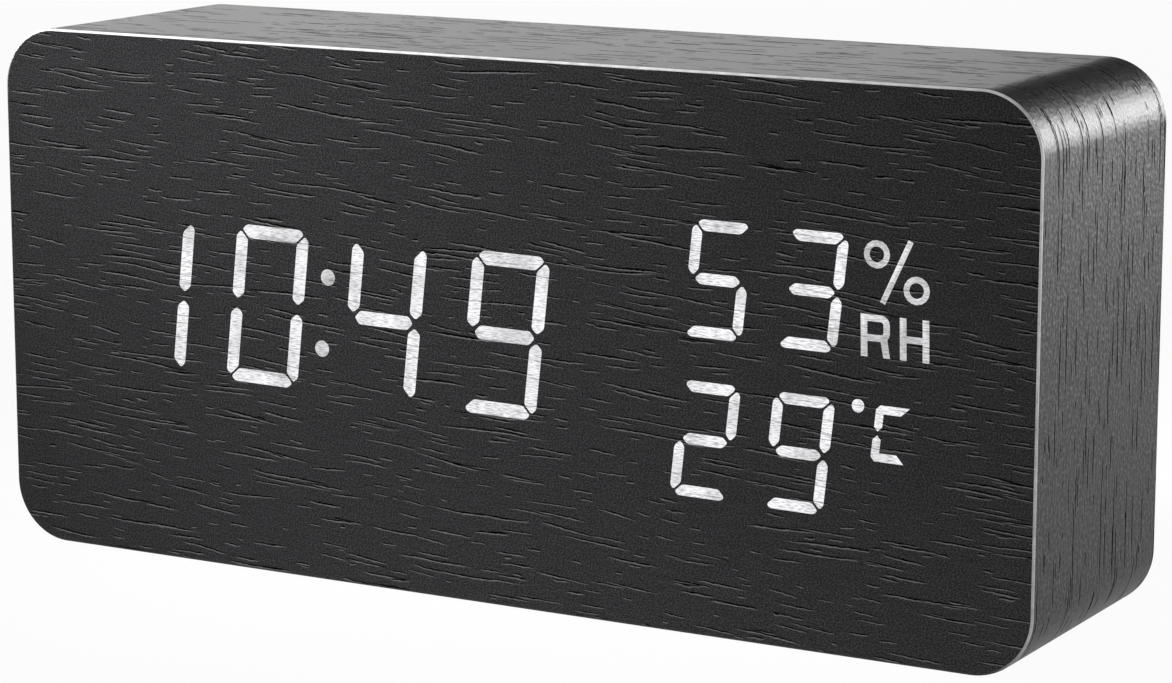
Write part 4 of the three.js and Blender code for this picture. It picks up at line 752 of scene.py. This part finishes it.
def bent_leg(along, start, height):
    """A leg that leaves a package at half its height, drops to the board and ends in a foot."""
    half = height / 2
    bend = [(0, half), (leg_shoulder, half), (leg_knee, leg_thickness), (leg_reach, leg_thickness)]
    strip = bmesh.new()
    points = [strip.verts.new(Vector((along - leg_width / 2, up, start + out)) * mm) for out, up in bend]
    lines = [strip.edges.new(pair) for pair in zip(points, points[1:])]
    drawn = bmesh.ops.extrude_edge_only(strip, edges=lines)["geom"]
    far_side = [part for part in drawn if isinstance(part, bmesh.types.BMVert)]
    bmesh.ops.translate(strip, vec=(leg_width * mm, 0, 0), verts=far_side)
    bmesh.ops.solidify(strip, geom=strip.faces[:], thickness=leg_thickness * mm)
    bmesh.ops.recalc_face_normals(strip, faces=strip.faces)
    second_finish(strip.faces)
    return strip


def chip(node, outward):
    """A package with two rows of legs, outward along Y from its board or, at -1, the other way."""
    low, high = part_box(node)
    length, height, span = (high - low) / mm
    package = span - 2 * leg_reach
    body = block(length, height - package_lift, package, (0, (height + package_lift) / 2, 0))
    roll(body, body.edges[:], package_edge * mm, 1)
    dimple = turned([(0, -dimple_depth), (dimple_radius, -dimple_depth), (dimple_radius, 1), (0, 1)], 24)
    move(dimple, Vector((dimple_inset - length / 2, height, package / 2 - dimple_inset)) * mm)
    parts = [carve(body, dimple)]
    legs = round(length / leg_pitch)
    for number in range(2 * legs):
        leg = bent_leg((number % legs - (legs - 1) / 2) * leg_pitch, package / 2, height)
        turn_about(leg, "Y", math.pi * (number // legs))
        parts.append(leg)
    solid = gather(*parts)
    turn_about(solid, "X", 0 if outward > 0 else math.pi)
    set_down(solid, node, low.y if outward > 0 else high.y)
    fit(as_piece(f"moulded_{node}", solid, [package_black, leg_tin]), "case", "chip_black", node)


chip("driver_chip", 1)
chip("clock_chip", -1)

# Round parts of the control board: the buzzer's tub with its sound hole, the microphone's can with a felt
# mouth, the capacitor in a shrunk sleeve with a scored lid, the coin cell and the crystal's can.
# All but the cell, which slides into its holder, are soldered down. Sizes in millimetres.
round_steps = 64


def round_size(node):
    """The radius and the length along Y of a round part."""
    low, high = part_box(node)
    return (high.x - low.x) / 2 / mm, (high.y - low.y) / mm


def cap_faces(solid, radius, depth):
    """The flat faces of a turned solid within a radius at one depth."""
    for face in solid.faces:
        middle = face.calc_center_median() / mm
        if math.hypot(middle.x, middle.z) < radius and abs(middle.y - depth) < 0.02:
            yield face


def seat_round(solid, node, finishes, slot):
    """Puts a turned solid, whose depths start at the low end of a plain part, in that part's place."""
    set_down(solid, node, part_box(node)[0].y)
    fit(as_piece(f"turned_{node}", solid, finishes), "case", slot, node)


radius, length = round_size("buzzer")
edge = 0.5
hole_radius = 1.2
hole_floor = length - 1.5
ring_outer = 3.5
ring_inner = 2.1
ring_slope = 0.1
ring_depth = 0.15
ring_floor = length - ring_depth
tub = turned([
    (0, 0), (radius - edge, 0), (radius - edge, edge), (radius, 1.2 * edge),
    *arc((radius - edge, length - edge), edge, 0, 90, 5), (ring_outer + ring_slope, length),
    (ring_outer, ring_floor), (ring_inner, ring_floor), (ring_inner - ring_slope, length),
    (hole_radius + ring_depth, length), (hole_radius, ring_floor), (hole_radius, hole_floor),
    (0, hole_floor)], round_steps)
seat_round(tub, "buzzer", [package_black], "chip_black")

radius, length = round_size("microphone")
bend = 0.2
groove = radius - 0.1
mouth_radius = radius - 0.6
felt_depth = length - 0.6
can = turned([
    (0, 0), (radius - bend, 0), (radius, bend), (radius, 3 * bend), (groove, 3.5 * bend),
    (groove, 4.5 * bend), (radius, 5 * bend), *arc((radius - bend, length - bend), bend, 0, 90, 4),
    (mouth_radius, length), (mouth_radius, felt_depth), (0, felt_depth)], round_steps)
second_finish(cap_faces(can, mouth_radius, felt_depth))
felt = moulded("microphone_felt", grey(0.006), grey(0.014), 0.9, 0.08, 0.05)
seat_round(can, "microphone", [nickel, felt], "contact_nickel")

radius, length = round_size("capacitor")
shrink = 0.4
groove = radius - 0.15
lid_radius = radius - 0.6
lid_depth = 0.2
score_width = 0.2
score_length = 2 * lid_radius - 1
sleeve = turned([
    (0, lid_depth), (lid_radius, lid_depth), (lid_radius, 0),
    *arc((radius - shrink, shrink), shrink, -90, 0, 4), (radius, length - 1.8), (groove, length - 1.5),
    (groove, length - 1.3), (radius, length - 1), (radius, length - shrink / 2),
    (radius - shrink / 2, length), (0, length)], round_steps)
second_finish(cap_faces(sleeve, lid_radius, lid_depth))
for across, up in ((score_length, score_width), (score_width, score_length)):
    sleeve = carve(sleeve, block(across, score_width, up, (0, lid_depth, 0)))
sleeve_blue = moulded("capacitor_sleeve", (0.01, 0.014, 0.03, 1), (0.02, 0.028, 0.05, 1), 0.35)
lid_metal = plated("capacitor_lid", (0.7, 0.7, 0.71, 1), 0.35)
seat_round(sleeve, "capacitor", [sleeve_blue, lid_metal], "capacitor_sleeve")

radius, length = round_size("coin_cell")
edge = 0.4
seal_floor = length - 1.3 * edge
lid_radius = radius - 1.2
coin = turned([
    (0, 0), *arc((radius - edge, edge), edge, -90, 0, 5),
    *arc((radius - edge, length - 2 * edge), edge, 0, 90, 5), (lid_radius + 0.3, length - edge),
    (lid_radius + 0.2, seal_floor), (lid_radius, seal_floor),
    *arc((lid_radius - edge / 2, length - edge / 2), edge / 2, 0, 90, 4), (0, length)], 96)
seat_round(coin, "coin_cell", [nickel], "contact_nickel")

low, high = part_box("crystal")
radius = (high.y - low.y) / 2 / mm
length = (high.x - low.x) / mm
can_radius = radius - 0.05
flange = 0.6
nose = 0.3
can = turned([
    (0, 0), *arc((can_radius - nose, nose), nose, -90, 0, 5), (can_radius, length - flange),
    (radius, length - flange), (radius, length - 0.1), (radius - 0.1, length), (0, length)], 40)
turn_about(can, "Z", -math.pi / 2)
move(can, (low.x, (low.y + high.y) / 2, (low.z + high.z) / 2))
fit(as_piece("turned_crystal", can, [nickel]), "case", "contact_nickel", "crystal")

# Rear cover: one moulding of black plastic that closes the back, with a fine texture outside, the battery
# tray and the posts for the board inside, and holes for what reaches the back.
cover_plastic = moulded("cover_plastic", grey(0.009), grey(0.024), 0.48)
cover_face = cover_high.y
cover_thickness = 2.2 * mm
cover_inside = cover_face - cover_thickness
cover_corner = 3.7 * mm
cover_edge = 0.5 * mm
tray_wall = 2.0 * mm
tray_floor = 1.5 * mm
cell_room = Vector((0, 0.3 * mm, 0.5 * mm))
flare = 0.3 * mm
top_cell_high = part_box("battery_cell_1")[1]
low_cell_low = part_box("battery_cell_3")[0]
door_low, door_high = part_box("battery_door")
door_middle = (door_low.x + door_high.x) / 2
door_gap = 0.3 * mm
door_span = 52 * mm
bay_low = Vector((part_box("contact_negative")[0].x, low_cell_low.y, low_cell_low.z)) - cell_room
bay_high = Vector((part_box("contact_positive")[1].x, cover_face + beyond, top_cell_high.z + cell_room.z))
tray_low = bay_low - Vector((tray_wall, tray_floor, tray_wall))
tray_high = Vector((bay_high.x + tray_wall, door_low.y, bay_high.z + tray_wall))


def round_hole(place, radius, depth=None):
    """A tool for a round hole through the cover at a place, or to a depth, with a flared rim. Metres."""
    start = (cover_face - depth if depth else cover_inside - beyond) / mm
    rim = cover_face / mm
    size = radius / mm
    wide = size + flare / mm
    tool = turned([
        (0, start), (size, start), (size, rim - flare / mm), (wide, rim), (wide, rim + 1),
        (0, rim + 1)], 32)
    move(tool, (place.x, 0, place.z))
    return tool


def flared_slot(low, high, corner):
    """A tool for a slot through the cover between two corners, with round ends and a flared rim."""
    tool = sheet(
        Vector((low.x, cover_inside - beyond, low.z)), Vector((high.x, cover_face - flare, high.z)))
    round_corners(tool, corner, 8)
    cap = max(tool.faces, key=lambda face: face.calc_center_median().y)
    middle = cap.calc_center_median()
    width, height = high.x - low.x, high.z - low.z
    for rise, grow in ((flare, 2 * flare), (beyond, 0.0)):
        cap = bmesh.ops.extrude_discrete_faces(tool, faces=[cap])["faces"][0]
        bmesh.ops.translate(tool, vec=(0, rise, 0), verts=cap.verts)
        size = Vector(((width + grow) / width, 1, (height + grow) / height))
        bmesh.ops.scale(tool, vec=size, space=Matrix.Translation(-middle), verts=cap.verts)
    return tool


bm = sheet(Vector((cover_low.x, cover_inside, cover_low.z)), cover_high)
round_corners(bm, cover_corner, 12)
roll(bm, edges_at(bm, cover_face), cover_edge, 4)
bm = carve(bm, sheet(tray_low, tray_high), "UNION")
bm = carve(bm, sheet(bay_low, bay_high))
opening = sheet(
    Vector((door_middle - door_span / 2 - door_gap, door_low.y, door_low.z - door_gap)),
    Vector((door_middle + door_span / 2 + door_gap, cover_face + beyond, door_high.z + door_gap)))
bm = carve(bm, opening)

scoop_width = 13
scoop_height = 9
scoop_depth = 1
scoop_tool = 4
scoop_corner = 4 * mm
scoop_bend = 0.8 * mm
scoop_middle = cover_face / mm + scoop_tool / 2 - scoop_depth
scoop = block(
    scoop_width, scoop_tool, scoop_height, (door_middle / mm, scoop_middle, door_low.z / mm - door_gap / mm))
round_corners(scoop, scoop_corner, 10)
roll(scoop, edges_at(scoop, cover_face - scoop_depth * mm), scoop_bend, 5)
bm = carve(bm, scoop)

post_radius = 2.5
post_edge = 0.1
post_length = 8.2
posts = []
for number in range(1, 5):
    post = turned([
        (0, 0), (post_radius - post_edge, 0), (post_radius, post_edge), (post_radius, post_length),
        (0, post_length)], 32)
    set_down(post, f"control_screw_{number}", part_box("control_board")[1].y)
    posts.append(post)
bm = carve(bm, gather(*posts), "UNION")

rib_length = 40.2
rib_rise = 1.6
rib_sink = 1
rib_width = 1.2
rib_edge = 0.5 * mm
rib_middle = bay_low.y / mm + (rib_rise - rib_sink) / 2
ribs = []
for upper, lower in (("battery_cell_1", "battery_cell_2"), ("battery_cell_2", "battery_cell_3")):
    between = (middle_of(upper).z + middle_of(lower).z) / 2
    rib = block(rib_length, rib_rise + rib_sink, rib_width, (door_middle / mm, rib_middle, between / mm))
    rib_top = edges_at(rib, bay_low.y + rib_rise * mm)
    roll(rib, [edge for edge in rib_top if run_along(edge, 0) > mm], rib_edge, 4)
    ribs.append(rib)
bm = carve(bm, gather(*ribs), "UNION")

key_hole = 4.8 * mm
voice_hole = 0.8 * mm
sound_hole = 0.85 * mm
sound_ring = 3.4 * mm
vent_pitch = 3 * mm
vent_half = Vector((0.7 * mm, 0, 5 * mm))
vent_corner = 0.69 * mm
hole_gap = Vector((0.3 * mm, 0, 0.3 * mm))
socket_corner = 1.0 * mm
head_hole = 2.35 * mm
head_depth = 0.9 * mm
holes = [round_hole(middle_of(f"{name}_button"), key_hole) for name in key_names]
holes.append(round_hole(middle_of("microphone"), voice_hole))
holes.append(round_hole(middle_of("buzzer"), sound_hole))
for step in range(6):
    swing = step * math.pi / 3
    aside = Vector((math.cos(swing), 0, math.sin(swing))) * sound_ring
    holes.append(round_hole(middle_of("buzzer") + aside, sound_hole))
for step in range(-2, 3):
    place = middle_of("climate_sensor") + Vector((step * vent_pitch, 0, 0))
    holes.append(flared_slot(place - vent_half, place + vent_half, vent_corner))
usb_low, usb_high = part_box("usb_shell")
holes.append(flared_slot(usb_low - hole_gap, usb_high + hole_gap, socket_corner))
for number in range(1, 5):
    holes.append(round_hole(middle_of(f"cover_screw_{number}"), head_hole, head_depth))
bm = carve(bm, gather(*holes))

tab_half = 1.2 * mm
pin_drop = 1 * mm
pin_hole = 0.7
pin_hole_reach = 27.4
bores = []
for number in range(1, 5):
    for screw, radius, start, end in (("cover", 1.4, 12, 17), ("control", 1.05, 7, 13)):
        bore = turned([(0, start), (radius, start), (radius, end), (0, end)], 24)
        set_down(bore, f"{screw}_screw_{number}", 0)
        bores.append(bore)
for node in ("contact_negative", "contact_positive"):
    low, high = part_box(node)
    half = Vector(((high.x - low.x) / 2, 0, tab_half)) + hole_gap
    place = middle_of(node)
    bores.append(sheet(
        Vector((place.x - half.x, tray_low.y - mm, place.z - half.z)),
        Vector((place.x + half.x, bay_low.y + mm, place.z + half.z))))
pin_place = Vector((door_middle, (door_low.y + cover_face) / 2, door_high.z - pin_drop))
pin_bore = turned([
    (0, -pin_hole_reach), (pin_hole, -pin_hole_reach), (pin_hole, pin_hole_reach), (0, pin_hole_reach)], 24)
turn_about(pin_bore, "Z", math.pi / 2)
move(pin_bore, pin_place)
bm = carve(carve(bm, gather(*bores)), pin_bore)
fit(as_piece("back_cover", bm, [cover_plastic]), "case", "cover_plastic", "rear_cover")

# Battery door: a plate of the same plastic, hinged at its top on two moulded pins that snap into the cover.
# Two slits free a springy tongue at the bottom, with ribs for the fingernail.
nose_radius = 0.99 * mm
door_edge = 0.3 * mm
bm = sheet(
    Vector((door_middle - door_span / 2, door_low.y, door_low.z)),
    Vector((door_middle + door_span / 2, cover_face, door_high.z)))
nose = [e for e in bm.edges if all(abs(v.co.z - door_high.z) < weld for v in e.verts)
        and run_along(e, 0) > mm]
roll(bm, nose, nose_radius, 8)
roll(bm, [e for e in edges_at(bm, cover_face) if e.calc_face_angle(0) > 1], door_edge, 3)

slit_width = 0.8
slit_length = 16
slit_tool = 6
tongue_half = 5.5
slits = []
for side in (-tongue_half, tongue_half):
    slit_middle = (door_middle / mm + side, cover_face / mm, door_low.z / mm)
    slits.append(block(slit_width, slit_tool, slit_length, slit_middle))
bm = carve(bm, gather(*slits))

grip_length = 9.4
grip_rise = 0.4
grip_sink = 1.0
grip_width = 0.8
grip_pitch = 1.8
grip_edge = 0.25 * mm
grip_middle = cover_face / mm + (grip_rise - grip_sink) / 2
grips = []
for step in (1, 2, 3):
    up = door_low.z / mm + grip_pitch * step
    grip = block(grip_length, grip_rise + grip_sink, grip_width, (door_middle / mm, grip_middle, up))
    roll(grip, edges_at(grip, cover_face + grip_rise * mm), grip_edge, 3)
    grips.append(grip)
bm = carve(bm, gather(*grips), "UNION")

pin_radius = 0.6
pin_length = 2.1
pin_edge = 0.15
pin_root = door_span / 2 - 1 * mm
pins = []
for side in (-1, 1):
    pin = turned([
        (0, 0), (pin_radius, 0), *arc((pin_radius - pin_edge, pin_length - pin_edge), pin_edge, 0, 90, 3),
        (0, pin_length)], 24)
    turn_about(pin, "Z", -side * math.pi / 2)
    move(pin, Vector((door_middle + side * pin_root, pin_place.y, pin_place.z)))
    pins.append(pin)
bm = carve(bm, gather(*pins), "UNION")
fit(as_piece("battery_lid", bm, [cover_plastic]), "door", "cover_plastic", "battery_door")

# Buttons: three turned caps of black plastic with a crowned top, kept in by a flange behind the cover.
# Each is marked in pale paint with a dot or an arrowhead and presses the red plunger of a switch.
button_plastic = moulded("button_plastic", grey(0.012), grey(0.03), 0.36, 0.3, 0.01)
mark_paint = moulded("mark_paint", grey(0.55), grey(0.68), 0.5, 0.2, 0.01)
plunger_red = moulded("plunger_red", (0.3, 0.02, 0.015, 1), (0.4, 0.04, 0.03, 1), 0.4)
dress(plunger_red, *(f"{name}_plunger" for name in key_names))
stem_radius = 2
flange_radius = 5.6
flange_edge = 0.1
flange_low = 1.6
flange_high = 2.6
cap_radius = 4.5
cap_edge = 0.6
crown = 0.35
crown_steps = 4
button_height = 6.3
dot_radius = 0.9 * mm
arrow_radius = 1.3 * mm
mark_thickness = 0.3 * mm
mark_rise = 0.04 * mm
for name, sides, swing in zip(key_names, (24, 3, 3), (0, 0, math.pi)):
    profile = [
        (0, 0), (stem_radius, 0), (stem_radius, flange_low), (flange_radius - flange_edge, flange_low),
        (flange_radius, flange_low + flange_edge), (flange_radius, flange_high - flange_edge),
        (flange_radius - flange_edge, flange_high), (cap_radius, flange_high)]
    profile += arc((cap_radius - cap_edge, button_height - crown - cap_edge), cap_edge, 0, 90, 5)
    for step in reversed(range(crown_steps)):
        share = step / crown_steps
        profile.append(((cap_radius - cap_edge) * share, button_height - crown * share ** 2))
    mark = bmesh.new()
    mark_radius = arrow_radius if sides == 3 else dot_radius
    bmesh.ops.create_circle(mark, cap_ends=True, segments=sides, radius=mark_radius)
    turn_about(mark, "Z", swing)
    turn_about(mark, "X", math.pi / 2)
    bmesh.ops.solidify(mark, geom=mark.faces[:], thickness=mark_thickness)
    bmesh.ops.recalc_face_normals(mark, faces=mark.faces)
    move(mark, (0, button_height * mm + mark_rise - max(v.co.y for v in mark.verts), 0))
    second_finish(mark.faces)
    bm = gather(turned(profile, 64), mark)
    set_down(bm, f"{name}_button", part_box(f"{name}_button")[0].y)
    cap = as_piece(f"{name}_cap", bm, [button_plastic, mark_paint])
    fit(cap, f"{name}_key", "button_plastic", f"{name}_button")

# Cells: three small dry cells side by side in the tray, every other one turned round.
# Each is a steel can in a printed sleeve, with a pip at one end. Sizes in millimetres.
cell_length = 44.5
cell_radius = 5.25
cell_top = cell_length - 0.9
sleeve_fold = 0.5
bare_end = 4.45
band_middle = 34.5
band_half = 1.6
tip_middle = 39.5
tip_half = 3.0
cell_ways = ((1, 1), (2, -1), (3, 1))


def cell_sleeve(name, flat_end, way):
    """Slate blue print with a pale band near the pip, along the cell from its flat end."""
    finish, tree, shader = new_finish(name)
    place = place_on(tree)
    along = sums(tree, "SUBTRACT", parts_of(tree, place)["X"], flat_end)
    along = sums(tree, "MULTIPLY", along, way / mm)
    band = stroke(tree, sums(tree, "SUBTRACT", along, band_middle), band_half, 0.05)
    tip = stroke(tree, sums(tree, "SUBTRACT", along, tip_middle), tip_half, 0.05)
    print_grain = clouds(tree, place, 900.0)
    tint = blend_tint(tree, print_grain, (0.03, 0.06, 0.1, 1), (0.045, 0.085, 0.13, 1))
    tint = blend_tint(tree, tip, tint, (0.16, 0.2, 0.24, 1))
    feed(shader, {
        "Base Color": blend_tint(tree, band, tint, grey(0.62)),
        "Roughness": sums(tree, "MULTIPLY_ADD", print_grain, 0.2, 0.22)})
    return finish


for number, way in cell_ways:
    low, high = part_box(f"battery_cell_{number}")
    flat_end = low.x if way > 0 else high.x
    bm = turned([
        (0, 0.1), (3.4, 0.1), (3.6, 0), (4.3, 0), (4.4, 0.15), (4.5, 0.15),
        *arc((cell_radius - sleeve_fold, 0.6), sleeve_fold, -80, 0, 4),
        *arc((cell_radius - sleeve_fold, cell_top - 0.6), sleeve_fold, 0, 80, 4),
        (4.5, cell_top - 0.1), (4.4, cell_top - 0.2), (2.4, cell_top - 0.2), (1.95, cell_top),
        (1.9, cell_top + 0.2), *arc((1.65, cell_length - 0.25), 0.25, 0, 90, 4), (0, cell_length)], 48)
    second_finish(
        face for face in bm.faces if face.calc_center_median().xz.length < bare_end * mm)
    turn_about(bm, "Z", -way * math.pi / 2)
    move(bm, (flat_end, (low.y + high.y) / 2, (low.z + high.z) / 2))
    sleeve = cell_sleeve(f"cell_sleeve_{number}", flat_end, way)
    cell = as_piece(f"dry_cell_{number}", bm, [sleeve, nickel])
    fit(cell, "case", "cell_jacket", f"battery_cell_{number}")


# Contacts: stamped nickel-plated plates in the ends of the tray, two of them bridging neighbouring cells,
# and a wire spring, wound to a cone, at the flat end of each cell.
def wire(name, routes, radius, finishes, smooth=False):
    """A round wire, or several side by side, each along its points. Smooth wires bend through them."""
    curve = bpy.data.curves.new(name, "CURVE")
    curve.dimensions = "3D"
    curve.bevel_depth = radius
    curve.bevel_resolution = 4
    curve.resolution_u = 10
    curve.use_fill_caps = True
    for finish in finishes:
        curve.materials.append(finish)
    for number, points in enumerate(routes):
        spline = curve.splines.new("BEZIER" if smooth else "POLY")
        spline.material_index = 1 if number == 0 and len(finishes) > 1 else 0
        knots = spline.bezier_points if smooth else spline.points
        knots.add(len(points) - 1)
        for knot, point in zip(knots, points):
            if smooth:
                knot.co = point
                knot.handle_left_type = knot.handle_right_type = "AUTO"
            else:
                knot.co = (*point, 1)
    piece = bpy.data.objects.new(name, curve)
    bpy.context.collection.objects.link(piece)
    return piece


dress(nickel, "contact_positive", "contact_negative", "contact_bridge_1", "contact_bridge_2")
spring_length = 4.6 * mm
spring_turns = 3
spring_wire = 0.6 * mm
spring_wide = 3.4 * mm
spring_narrow = 2.2 * mm
spring_steps = spring_turns * 28
for number, way in cell_ways:
    low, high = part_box(f"battery_spring_{number}")
    foot = low.x if way > 0 else high.x
    axis = middle_of(f"battery_cell_{number}")
    points = [(foot, axis.y + way * spring_wide, axis.z)]
    for step in range(spring_steps + 1):
        share = step / spring_steps
        swing = 2 * math.pi * spring_turns * share
        reach = spring_wide + (spring_narrow - spring_wide) * share
        along = spring_wire + (spring_length - 2 * spring_wire) * share
        points.append((
            foot + way * along, axis.y + way * reach * math.cos(swing), axis.z + reach * math.sin(swing)))
    points.append((foot + way * spring_length, axis.y + way * spring_narrow, axis.z))
    spring = wire(f"cone_spring_{number}", [points], spring_wire / 2, [nickel])
    fit(spring, "case", "contact_nickel", f"battery_spring_{number}")

# Leads: two wires of stranded copper in red and black sleeves, soldered at one end to the tray's contacts
# and at the other to the control board. Their routes are in millimetres.
red_route = [
    (-12, 1.2, 46.2), (-12, -0.4, 46.2), (-8.5, -2, 45.6), (-3.8, -0.2, 44.4), (-1.8, 3.3, 44),
    (-1.8, 6.3, 44),
]
black_route = [
    (-61.8, 1.2, 23.8), (-61.8, -0.4, 23.8), (-60.3, -1.2, 19.8), (-56.8, 2.8, 11.9), (-49.8, 7.85, 10.4),
    (-36.9, 9.85, 10.4), (-17.8, 7.85, 10.4), (-5.8, -0.7, 15.4), (-1.8, 1.3, 23), (-1.8, 4.3, 26),
    (-1.8, 6.3, 26),
]
lead_radius = 0.6 * mm
red_sleeve = moulded("wire_red", (0.35, 0.015, 0.012, 1), (0.45, 0.03, 0.02, 1), 0.4)
black_sleeve = moulded("wire_black", grey(0.01), grey(0.022), 0.4)
for name, route, sleeve in (("red", red_route, red_sleeve), ("black", black_route, black_sleeve)):
    points = [Vector(point) * mm for point in route]
    lead = wire(f"{name}_lead", [points], lead_radius, [sleeve], smooth=True)
    fit(lead, "case", f"wire_{name}", f"battery_lead_{name}")

# Ribbon: nineteen fine grey wires side by side, the first marked red, pushed at both ends into the boards'
# headers and bowed between them. Its route is in millimetres along Y and up from the header.
ribbon_route = [(5.4, 0), (3.4, 0), (2.4, -0.5), (-3, -5), (-8.4, -0.5), (-9.4, 0), (-11.4, 0)]
ribbon_wires = 19
ribbon_width = 12 * mm
ribbon_radius = 0.3 * mm
ribbon_grey = moulded("ribbon_grey", grey(0.3), grey(0.38), 0.45)
ribbon_middle = middle_of("ribbon_cable").x
ribbon_seat = middle_of("control_header").z
ribbon_pitch = (ribbon_width - 2 * ribbon_radius) / (ribbon_wires - 1)
strands = []
for strand in range(ribbon_wires):
    x = ribbon_middle + (strand - (ribbon_wires - 1) / 2) * ribbon_pitch
    strands.append([Vector((x, y * mm, ribbon_seat + rise * mm)) for y, rise in ribbon_route])
ribbon = wire("grey_ribbon", strands, ribbon_radius, [ribbon_grey, red_sleeve], smooth=True)
fit(ribbon, "case", "ribbon_grey", "ribbon_cable")
